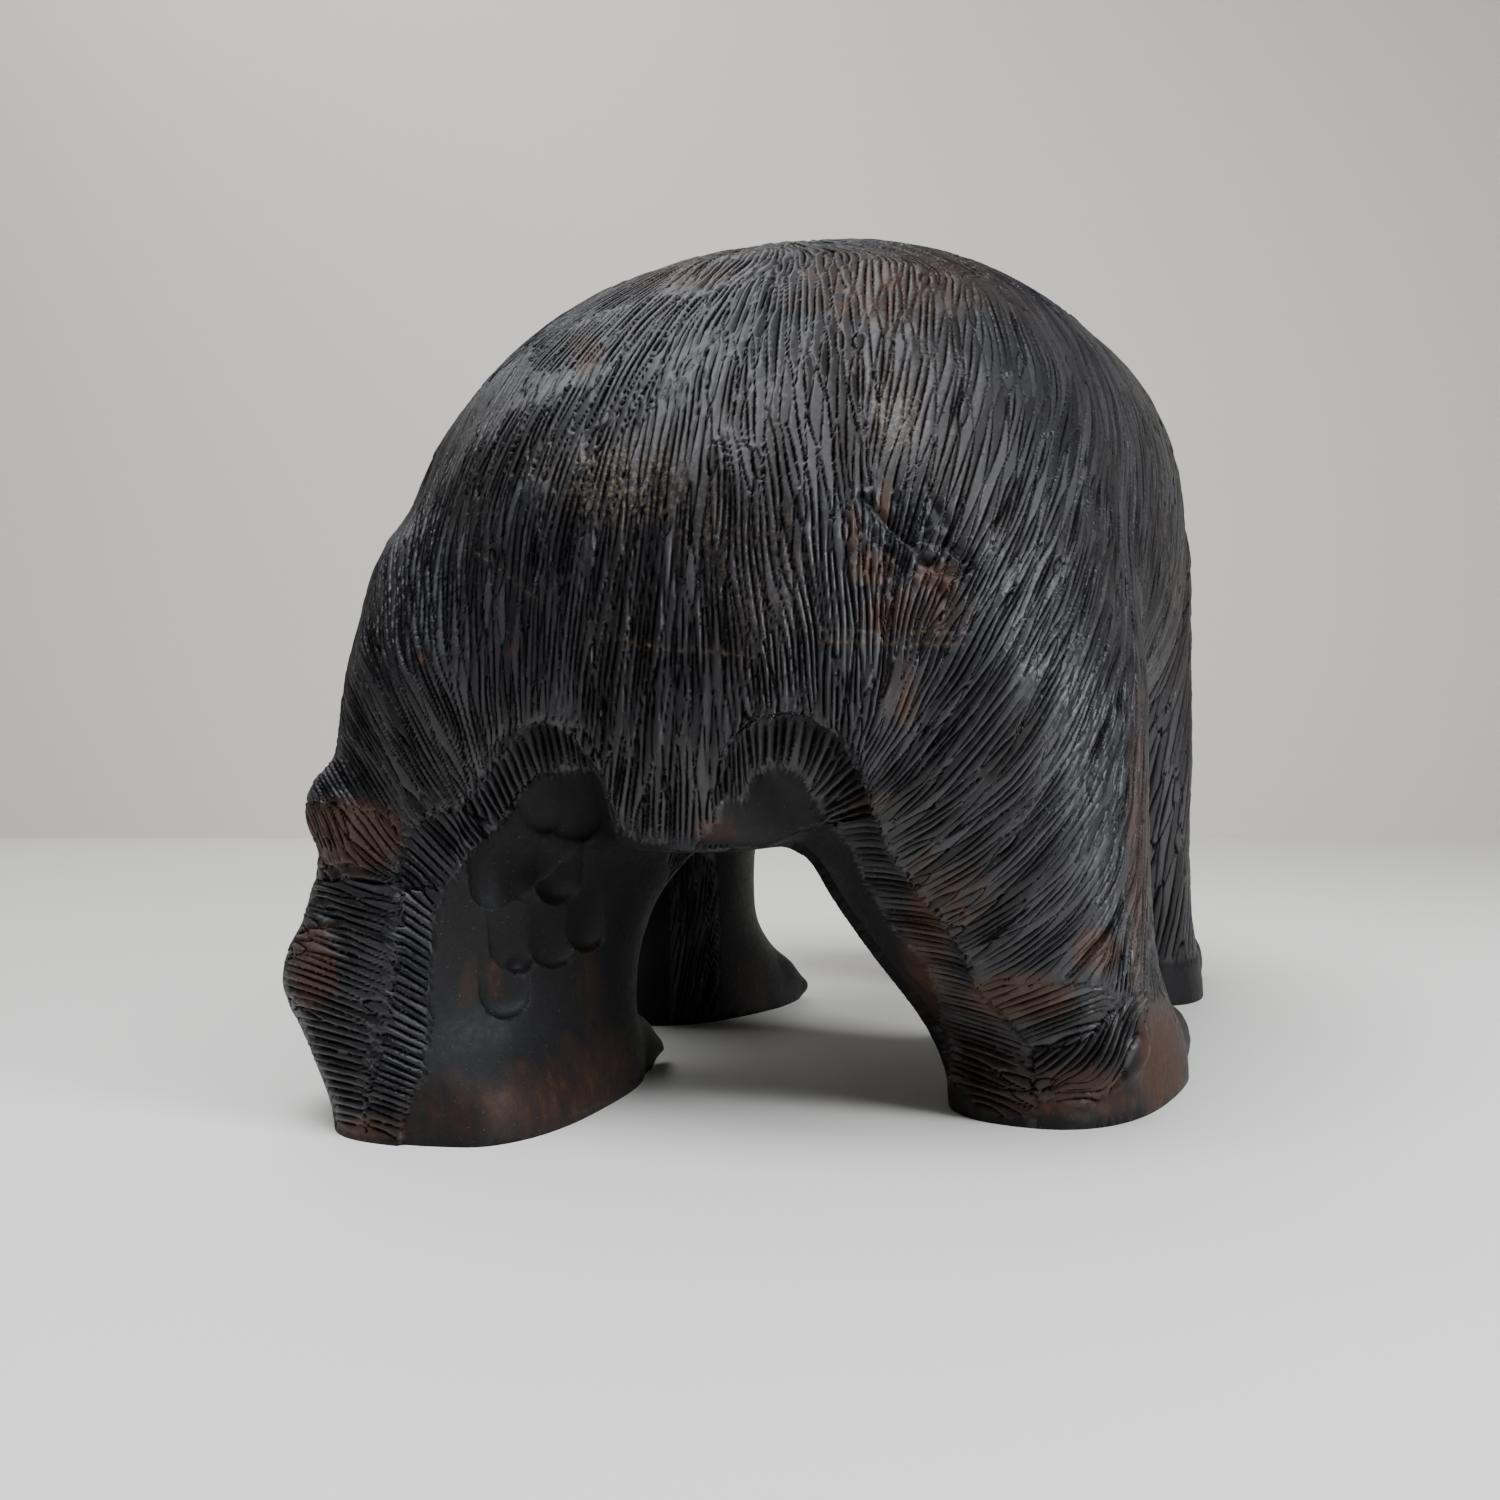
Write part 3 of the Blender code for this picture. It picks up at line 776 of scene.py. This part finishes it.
# Features of the head, in shares.
NOSTRILS = ((-1.9, 88.4, 54.2), (2.9, 88.4, 54.2))
EYES = ((-9.2, 76.3, 62.9), (10.2, 76.3, 62.9))
EARS = ((-14.0, 63.4, 79.5), (15.0, 63.4, 79.5))
EYE_SMOOTH = 3
FACE_MIDDLE, FACE_REACH = (0.5, 80, 57), 15
# The mouth's line runs from one cheek round under the nose to the other.
MOUTH_STEPS = 24
# Each kind of stroke, in shares: how far apart at its widest and its narrowest, how long from
# the shortest to the longest, and how deep. Plain ones widen forwards, the others upwards.
STROKES = {
    "plain": ((1.4, 0.85), (9, 18), 0.33),
    "open": ((0.68, 0.56), (10, 22), 0.3),
    "region": ((0.74, 0.74), (12, 26), 0.34),
}
DEPTH_VARIES = (0.7, 1.2)


def strokes(tree, points, normals, lie, zone):
    """The strokes' samples: place, way, how far along, half width, depth, tone and stroke."""
    chance = random.Random(SEED)
    down = sight(points)[1]
    rows = []
    count = 0
    for number in (PLAIN, OPEN, *REGION_NUMBERS):
        kind = "plain" if number == PLAIN else "open" if number == OPEN else "region"
        (wide, narrow), lengths, depth = STROKES[kind]
        if number == PLAIN:
            spacing = narrow + (wide - narrow) * ramp(points[:, 1], -14, 8)
        else:
            spacing = wide + (narrow - wide) * ramp(down, 430, 560)
        for line in comb(tree, points, normals, lie, zone == number, spacing, lengths, chance):
            half = spacing[line[0][1]] / 2
            finish = (half, depth * chance.uniform(*DEPTH_VARIES), chance.random(), count)
            count += 1
            last = len(line) - 1
            places = [place for place, _ in line]
            for i, place in enumerate(places):
                way = (places[min(i + 1, last)] - places[max(i - 1, 0)]).normalized()
                rows.append((*place, *way, i / last, *finish))
                if i < last:
                    between = (place + places[i + 1]) / 2
                    rows.append((*between, *way, (i + 0.5) / last, *finish))
    return np.array(rows)


# The cuts between strokes. In half widths of a stroke: how far one reaches, how narrow its tips
# are, where it ends, how wide a cut is and how much wider lower down. FAR means no stroke.
REACH = 2.1
TAPER = 2.8
TIP_WIDTH = 0.08
END = (3.0, 2.0)
CUT_WIDTH = 1.2
CUT_WIDENS = 0.35
FAR = 9.0
# Points nearer than SNAP shares to a cut move onto it, so that its bottom is sharp.
SNAP = 0.1
# How much of the depth is the cut's, the slant's across each stroke, and the stroke's own.
CUT_SHARE, SLANT_SHARE, OWN_SHARE = 0.8, 0.75, 0.25


def changes(values):
    """Whether each value differs from the one before it."""
    return np.concatenate(([True], values[1:] != values[:-1]))


def stroke_cuts(points, normals, rows):
    """The points cut to the strokes, how deep in a cut each is, and its stroke's tone."""
    tree = filed(points)
    found, owner = [], []
    for number, row in enumerate(rows.tolist()):
        near = tree.find_range(row[:3], REACH * row[7])
        found.extend([index for _, index, _ in near])
        owner.extend([number] * len(near))
    found, owner = np.array(found), np.array(owner)
    row = rows[owner]
    way, along, half, line = row[:, 3:6], row[:, 6], row[:, 7], row[:, 10]
    offset = points[found] - row[:, :3]
    sideways = np.cross(normals[found], way)
    across = np.sum(offset * sideways, axis=1) / half
    past = np.sum(offset * way, axis=1) / half
    width = np.clip(TAPER * np.minimum(along, 1 - along), TIP_WIDTH, 1) ** 0.8
    score = np.sqrt((across / width) ** 2 + 0.6 * past ** 2)
    # Each stroke counts once at a point, by its nearest sample, and the two nearest strokes count.
    order = np.lexsort((score, line, found))
    order = order[changes(found[order]) | changes(line[order])]
    order = order[np.lexsort((score[order], found[order]))]
    place = found[order]
    best = changes(place)
    rival = np.concatenate(([False], best[:-1])) & ~best

    def at_points(chosen, values, default):
        """The values of the chosen samples at their points, and the default at the others."""
        result = np.full(len(points), default)
        result[place[chosen]] = values[order[chosen]]
        return result

    own, own_score = at_points(best, np.arange(len(found)), 0), at_points(best, score, FAR)
    next_score, next_width = at_points(rival, score, FAR), at_points(rival, width, 1.0)
    apart = next_score - own_score
    to_cut = apart * half[own] / (1 / width[own] + 1 / next_width)
    moved = (to_cut < SNAP) & (np.abs(across[own]) > 0.3) & (width[own] > 0.8) & (next_width > 0.8)
    shift = np.where(moved, to_cut * np.sign(across[own]), 0)
    apart = np.where(moved, 0, apart)
    down = sight(points)[1]
    groove = 1 - np.clip(apart / (CUT_WIDTH + CUT_WIDENS * ramp(down, 400, 560)), 0, 1)
    upper = np.where(sideways[own, 2] >= -0.05, 1.0, -1.0)
    slant = np.clip(0.5 + 0.5 * across[own] * upper, 0, 1)
    depth, tone = row[own, 8], row[own, 9]
    covered = ramp(own_score, *END)
    sunk = depth * (CUT_SHARE * groove ** 1.2 + SLANT_SHARE * slant + OWN_SHARE * tone)
    moved_points = points + sideways[own] * shift[:, None] - normals * (sunk * covered)[:, None]
    return moved_points, groove * covered, np.where(covered > 0.5, tone, 0.5)


def faced(points, normals):
    """The points cut to the mouth, nostrils, eyes and ears."""
    depth = np.zeros(len(points))
    head = np.flatnonzero(points[:, 1] > 52)
    near = points[head]
    t = 2 * np.arange(MOUTH_STEPS + 1) / MOUTH_STEPS - 1
    line = np.stack((0.5 + 10.5 * np.sin(t * math.pi / 2), 88 - 15 * t * t, 46.6 + 4 * t * t), axis=1)
    away = np.full(len(head), 99.0)
    for start, end in zip(line, line[1:]):
        run = end - start
        t = np.clip((near - start) @ run / (run @ run), 0, 1)
        away = np.minimum(away, length(near - start - t[:, None] * run))
    cut_in = 1.1 * dome(away, 1.0)
    for nostril in NOSTRILS:
        cut_in = np.maximum(cut_in, 1.3 * dome(length(near - nostril), 1.5))
    for eye in EYES:
        away = length(near - near[np.argmin(length(near - eye))])
        lid_and_ball = 0.9 * bell(away - 1.9, 0.45) - 0.45 * dome(away, 1.5)
        cut_in = np.where(away < 3.5, lid_and_ball, cut_in)
    for ear in EARS:
        hollow = 2.2 * dome(length((near - ear) * (1, 0.4, 1)), 4.3) ** 0.7
        cut_in = np.maximum(cut_in, np.where(normals[head, 1] > 0.1, hollow, 0))
    depth[head] = cut_in
    return points - normals * depth[:, None]


def distance_to(across, down, line):
    """How far each place of the picture is from the line."""
    nearest = np.full(len(across), 1e6)
    for (x0, y0), (x1, y1) in zip(line, line[1:]):
        run, rise = x1 - x0, y1 - y0
        t = np.clip(((across - x0) * run + (down - y0) * rise) / (run * run + rise * rise), 0, 1)
        nearest = np.minimum(nearest, np.hypot(across - x0 - t * run, down - y0 - t * rise))
    return nearest


def set_back(away, deep, quick):
    """How deep the wood is cut back at each distance from an arris."""
    return deep * (1 - np.exp(-away / quick))


def edged(points, normals, zone):
    """The points cut back beside the legs' edges and along the creases."""
    across, down = sight(points)
    seen = in_view(points, normals, -0.1, -10)
    fringe = list(REGIONS).index("right fringe") + FIRST_REGION
    inner_side = seen & ((zone == fringe) | inside(across, down, RIGHT_HOLLOW)) & (points[:, 0] > 6)
    away = distance_to(across, down, RIGHT_ARRIS)
    fade = ramp(away, 120, 50) * ramp(down, 1095, 1045)
    depth = np.where(inner_side, set_back(away, *RIGHT_CUT) * fade, 0)
    panel = seen & inside(across, down, LEFT_PANEL) & (points[:, 1] < -35)
    away = distance_to(across, down, LEFT_ARRIS)
    depth += np.where(panel, set_back(away, *LEFT_CUT) * ramp(away, 90, 40), 0)
    for line, deep, reach in CREASES:
        depth += np.where(seen, deep * bell(distance_to(across, down, line), reach), 0)
    return points - normals * depth[:, None]


def cracked(points, normals):
    """The points sunk along the cracks and in the knot's hole, and the scratches as a mask."""
    across, down = sight(points)
    seen = in_view(points, normals, 0.05, -10)
    depth = np.zeros(len(points))
    for line, deep, reach in CRACKS:
        depth = np.maximum(depth, deep * bell(distance_to(across, down, line), reach))
    scratched = np.zeros(len(points))
    chance = random.Random(SEED)
    for _ in range(PITS):
        x, y = chance.gauss(*PITS_ACROSS), chance.gauss(*PITS_DOWN)
        deep, reach = chance.uniform(*PIT_DEPTH), chance.uniform(*PIT_REACH)
        depth = np.maximum(depth, deep * bell(np.hypot(across - x, 0.6 * (down - y)), reach))
    for line, pitch in SCRATCHES:
        broken = 0.6 + 0.4 * np.sin(across * 2 * math.pi / pitch)
        near = bell(distance_to(across, down, line), SCRATCH_REACH)
        scratched = np.maximum(scratched, broken * near)
    depth = np.where(seen, np.maximum(depth, SCRATCH_DEPTH * scratched), 0)
    return points - normals * depth[:, None], np.where(seen, scratched, 0)


def worn(points, normals, patches):
    """How much each point is worn or dusty, from soft patches in the picture."""
    across, down = sight(points)
    seen = in_view(points, normals, -0.15, 5)
    level = np.zeros(len(points))
    for x, y, wide, high, strength in patches:
        reach = ((across - x) / wide) ** 2 + ((down - y) / high) ** 2
        level = np.maximum(level, strength * np.exp(-1.1 * reach ** 1.5))
    return np.where(seen, level, 0)


def scooped(points, normals, zone):
    """How deep the gouge cuts in the smooth panel go."""
    across, down = sight(points)
    open_to_view = in_view(points, normals, 0.05, -25) & (zone == BARE)
    depth = np.zeros(len(points))
    for top_x, top_y, low_x, low_y, half, deep in SCOOPS:
        axis = np.array((low_x - top_x, low_y - top_y), float)
        full = np.linalg.norm(axis)
        axis /= full
        along = (across - top_x) * axis[0] + (down - top_y) * axis[1]
        aside = (across - top_x) * axis[1] - (down - top_y) * axis[0]
        past = np.maximum(along - (full - half), 0)
        hollow = np.clip(1 - (aside ** 2 + past ** 2) / half ** 2, 0, 1) ** 0.5
        cut_here = SCOOP_DEPTH * deep * np.clip(along / full, 0, 1) ** 1.3 * hollow
        depth = np.maximum(depth, np.where((along > 0) & open_to_view, cut_here, 0))
    return depth


def refined(points, faces):
    """The mesh with its triangles cut small where fine strokes go."""
    normals = normals_of(points, faces)
    zone = zones(points, normals)
    across, down = sight(points)
    fine = (points[:, 1] < -6) | (length(points - FACE_MIDDLE) < FACE_REACH)
    panel = inside(across, down, LEFT_PANEL) & (points[:, 1] < -35) & (down < 1040)
    fine &= (zone != BARE) | panel | (points[:, 1] > 66)
    corner = points[faces]
    longest = np.linalg.norm(corner - np.roll(corner, 1, axis=1), axis=2).max(axis=1)
    return split(points, faces, fine[faces].any(axis=1) & (longest > LONGEST_EDGE))


def mesh_of(points, faces, name, masks):
    """A mesh of the triangles, with each mask's values on its points."""
    mesh = bpy.data.meshes.new(name)
    mesh.vertices.add(len(points))
    mesh.vertices.foreach_set("co", points.ravel())
    mesh.loops.add(faces.size)
    mesh.loops.foreach_set("vertex_index", faces.ravel().astype(np.int32))
    mesh.polygons.add(len(faces))
    mesh.polygons.foreach_set("loop_start", np.arange(0, faces.size, 3, dtype=np.int32))
    mesh.update(calc_edges=True)
    for mask, values in masks.items():
        mesh.attributes.new(mask, "FLOAT", "POINT").data.foreach_set("value", values)
    return mesh


def thinned(mesh, triangles):
    """The mesh with its flatter triangles merged until it has the number left."""
    obj = placed(mesh, "thin")
    thin = obj.modifiers.new("thin", "DECIMATE")
    thin.ratio = min(1, triangles / len(mesh.polygons))
    return applied(obj)


def flat_soles(mesh):
    """The mesh cut off flat at the ground, and closed there."""
    body = bmesh.new()
    body.from_mesh(mesh)
    everything = body.verts[:] + body.edges[:] + body.faces[:]
    bmesh.ops.bisect_plane(
        body, geom=everything, plane_co=(0, 0, 0), plane_no=(0, 0, 1), clear_inner=True
    )
    rim = [edge for edge in body.edges if edge.is_boundary]
    soles = bmesh.ops.holes_fill(body, edges=rim)["faces"]
    bmesh.ops.triangulate(body, faces=soles)
    body.to_mesh(mesh)
    body.free()
    mesh.update()
    return mesh


class Nodes:
    """Short ways to add the nodes of one material. A value is a number, a colour or a socket."""

    def __init__(self, material):
        self.tree = material.node_tree
        self.place = self.add("TexCoord", {}).outputs["Object"]

    def set(self, socket, value):
        if isinstance(value, bpy.types.NodeSocket):
            self.tree.links.new(value, socket)
        else:
            socket.default_value = value

    def add(self, kind, values):
        node = self.tree.nodes.new("ShaderNode" + kind)
        for name, value in values.items():
            self.set(node.inputs[name], value)
        return node

    def mask(self, name):
        node = self.add("Attribute", {})
        node.attribute_name = name
        return node.outputs["Fac"]

    def noise(self, scale, detail, roughness, stretch=(1, 1, 1)):
        place = self.add("Mapping", {"Scale": stretch, "Vector": self.place}).outputs["Vector"]
        values = {"Scale": scale, "Detail": detail, "Roughness": roughness, "Vector": place}
        return self.add("TexNoise", values).outputs["Fac"]

    def math(self, operation, a, b):
        node = self.add("Math", {0: a, 1: b})
        node.operation = operation
        return node.outputs[0]

    def between(self, value, low, high, to_low=0.0, to_high=1.0):
        """The value, moved from the range low to high into the range to_low to to_high."""
        ends = {"From Min": low, "From Max": high, "To Min": to_low, "To Max": to_high}
        return self.add("MapRange", {**ends, "Value": value}).outputs["Result"]

    def mix(self, factor, a, b):
        """The colour a, or b where the factor is 1."""
        node = self.add("Mix", {})
        node.data_type = "RGBA"
        for number, value in ((0, factor), (6, a), (7, b)):
            self.set(node.inputs[number], value)
        return node.outputs[2]


BLACK = (0.0045, 0.0045, 0.0056, 1)
CHARCOAL = (0.019, 0.018, 0.0215, 1)
WARM_BLACK = (0.021, 0.0125, 0.0085, 1)
# Near black for the cuts: stain gathered in them, and painted shade for the dark that cuts too fine for
# the mesh would cast.
CUT_STAIN_AND_SHADE = (0.0008, 0.0007, 0.0007, 1)
PANEL = (0.0075, 0.0073, 0.0079, 1)
BROWN = (0.185, 0.088, 0.052, 1)
DEEP_BROWN = (0.036, 0.0155, 0.0095, 1)
TAN = (0.2, 0.152, 0.105, 1)
SPECK = (0.3, 0.3, 0.31, 1)
BUMP_STRENGTH, BUMP_HEIGHT = 0.35, 0.0003


def wood():
    """Near-black stain, satin on the strokes, darker in the cuts from gathered stain and painted shade,
    worn to brown in places.
    """
    material = bpy.data.materials.new("stained wood, carved")
    material.use_nodes = True
    nodes = Nodes(material)
    shader = material.node_tree.nodes["Principled BSDF"].inputs
    mask, noise, between, mix = nodes.mask, nodes.noise, nodes.between, nodes.mix
    plus, minus, times = [partial(nodes.math, kind) for kind in ("ADD", "SUBTRACT", "MULTIPLY")]
    groove, tone, smooth = mask("groove"), mask("tone"), mask("smooth")
    worn_here, dust, scratch = mask("worn"), mask("dust"), mask("scratch")
    patchy = noise(14, 4, 0.6)
    fine = noise(420, 3, 0.6)
    grit = noise(1500, 2, 0.7)
    stain = mix(tone, BLACK, CHARCOAL)
    stain = mix(between(patchy, 0.45, 0.75, 0, 0.55), stain, WARM_BLACK)
    stain = mix(smooth, stain, PANEL)
    # The stain is gone stroke by stroke at the rim of each patch, and mostly off the ridges.
    grain = noise(170, 4, 0.65, (1, 1, 0.4))
    wear = plus(worn_here, times(minus(tone, 0.5), 0.55))
    wear = plus(wear, times(minus(grain, 0.5), 1.1))
    bare = times(between(wear, 0.42, 0.85), between(worn_here, 0.04, 0.3))
    bare = times(bare, between(groove, 0.3, 0.75, 0.9, 0.08))
    bare = times(bare, 0.88)
    brown = mix(between(grain, 0.36, 0.72), DEEP_BROWN, BROWN)
    colour = mix(bare, stain, brown)
    thin = plus(worn_here, times(minus(grain, 0.5), 0.9))
    thin = times(between(thin, 0.12, 0.6, 0, 0.85), between(worn_here, 0.04, 0.2))
    colour = mix(thin, colour, DEEP_BROWN)
    dusty = times(dust, between(noise(700, 4, 0.7), 0.48, 0.68))
    colour = mix(dusty, colour, TAN)
    # Painted shade, with gathered stain: the cuts are darkened towards near black.
    colour = mix(times(between(groove, 0.3, 0.9), 0.9), colour, CUT_STAIN_AND_SHADE)
    colour = mix(times(between(grit, 0.69, 0.76), 0.35), colour, SPECK)
    scratched = times(scratch, between(fine, 0.4, 0.65, 0, 0.6))
    nodes.set(shader["Base Color"], mix(scratched, colour, TAN))
    rough = between(fine, 0.3, 0.7, 0.36, 0.5)
    rough = plus(rough, times(tone, 0.08))
    rough = plus(rough, between(groove, 0.4, 0.95, 0, 0.3))
    rough = plus(rough, times(bare, 0.15))
    nodes.set(shader["Roughness"], plus(rough, times(smooth, 0.08)))
    shine = minus(1.0, times(smooth, 0.62))
    shine = times(between(groove, 0.1, 0.62, 0.46, 0.03), shine)
    shine = times(between(tone, 0, 1, 0.6, 1.35), shine)
    nodes.set(shader["Specular IOR Level"], shine)
    bump = nodes.add("Bump", {"Strength": BUMP_STRENGTH, "Distance": BUMP_HEIGHT, "Height": fine})
    nodes.set(shader["Normal"], bump.outputs["Normal"])
    return material


def values_of(mesh, name):
    values = np.empty(len(mesh.vertices))
    mesh.attributes[name].data.foreach_get("value", values)
    return values


# The carving is held in pieces, so that none is too heavy. They part down the middle, across the
# waist, given by its y, and behind that at the hips, given by their z.
WAIST, HIPS = -10, 55
PIECES = (
    "bear_left_forequarter", "bear_right_forequarter", "bear_left_rump", "bear_right_rump",
    "bear_left_hind_leg", "bear_right_hind_leg",
)


def piece_at(centres):
    """The number of the piece that each place belongs to."""
    x, y, z = centres.T
    return np.where(y > WAIST, 0, np.where(z > HIPS, 2, 4)) + (x > 0)


def bear():
    """Carves the bear and holds it in pieces. Gives the middle of its ground plan, in shares."""
    points, faces = points_and_faces(block())
    normals = normals_of(points, faces)
    points = edged(points, normals, zones(points, normals))
    normals = normals_of(points, faces)
    zone = zones(points, normals)
    lie = lie_of_fur(points, normals, zone)
    rows = strokes(filed(points), points, normals, lie, zone)
    points, faces = refined(points, faces)
    normals = normals_of(points, faces)
    points = faced(points, normals)
    zone = zones(points, normals)
    masks = {"worn": worn(points, normals, WORN), "dust": worn(points, normals, DUST),
             "smooth": (zone == BARE).astype(float)}
    points = points - normals * scooped(points, normals, zone)[:, None]
    points, masks["scratch"] = cracked(points, normals)
    points, masks["groove"], masks["tone"] = stroke_cuts(points, normals, rows)
    mesh = flat_soles(thinned(mesh_of(points, faces, "bear", masks), MOST_TRIANGLES))
    points, faces = points_and_faces(mesh)
    normals = normals_of(points, faces)
    masks = {name: values_of(mesh, name) for name in masks}
    middle = (points.min(axis=0) + points.max(axis=0)) / 2
    middle[2] = 0
    piece_of = piece_at(points[faces].mean(axis=1))
    finish = wood()
    for number, name in enumerate(PIECES):
        used, own_faces = np.unique(faces[piece_of == number], return_inverse=True)
        own_masks = {mask: values[used] for mask, values in masks.items()}
        own_points = (points[used] - middle) * SHARE
        part = mesh_of(own_points, own_faces.reshape(-1, 3), name, own_masks)
        part.shade_smooth()
        part.normals_split_custom_set_from_vertices(normals[used])
        part.materials.append(finish)
        piece = placed(part, name)
        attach(piece, "root")
        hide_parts("bear")
    return middle


SHEET_HALF = 6
WALL_AWAY = 2.06
FLOOR_PAINT = {"Base Color": (0.93, 0.91, 0.87, 1), "Roughness": 0.6}
WALL_PAINT = {
    "Base Color": (0.7, 0.67, 0.61, 1),
    "Roughness": 0.6,
    "Emission Color": (0.8, 0.77, 0.71, 1),
    "Emission Strength": 0.12,
}
SKY = {"Color": (0.96, 0.98, 1, 1), "Strength": 0.045}
LAMP_COLOUR = (0.93, 0.96, 1)
# Soft lamps: name, power, size, where each stands and the place that it faces.
LAMPS = (
    ("overhead", 18.5, 0.7, (-0.2, -0.6, 1.5), (0.0, -0.05, 0.2)),
    ("right side", 18, 0.45, (1.2, -0.5, 0.6), (0.1, -0.15, 0.15)),
    ("near floor", 15, 1.0, (0.9, -0.9, 1.7), (0.7, -0.6, 0.0)),
    ("far floor", 14, 1.2, (-0.9, 0.5, 1.7), (-0.5, 0.6, 0.0)),
)


def coated(node, values):
    for name, value in values.items():
        node.inputs[name].default_value = value


def sheet(name, values):
    """A wide square, level at the ground's height, with its paint."""
    body = bmesh.new()
    bmesh.ops.create_grid(body, x_segments=1, y_segments=1, size=SHEET_HALF)
    mesh = bpy.data.meshes.new(name)
    body.to_mesh(mesh)
    body.free()
    paint = bpy.data.materials.new(name)
    paint.use_nodes = True
    coated(paint.node_tree.nodes["Principled BSDF"], values)
    mesh.materials.append(paint)
    return placed(mesh, name)


def stand(middle):
    """The camera, the floor and wall behind, and the soft light."""
    camera = placed(bpy.data.cameras.new("camera"), "camera")
    camera.data.sensor_width = LENS
    camera.data.lens = LENS
    camera.location = Vector((EYE - middle) * SHARE)
    camera.rotation_euler = (math.pi / 2, 0, math.atan2(-AHEAD[0], AHEAD[1]))
    bpy.context.scene.camera = camera
    floor = sheet("floor", FLOOR_PAINT)
    wall = sheet("wall", WALL_PAINT)
    wall.rotation_euler = camera.rotation_euler
    wall.location = camera.location + Vector(AHEAD) * WALL_AWAY
    world = bpy.data.worlds.new("studio")
    bpy.context.scene.world = world
    world.use_nodes = True
    coated(world.node_tree.nodes["Background"], SKY)
    for name, power, size, place, aim in LAMPS:
        light = placed(bpy.data.lights.new(name, "AREA"), name)
        light.data.energy = power
        light.data.size = size
        light.data.color = LAMP_COLOUR
        light.location = place
        light.rotation_euler = (Vector(place) - Vector(aim)).to_track_quat("Z", "Y").to_euler()


middle = bear()
stand(middle)
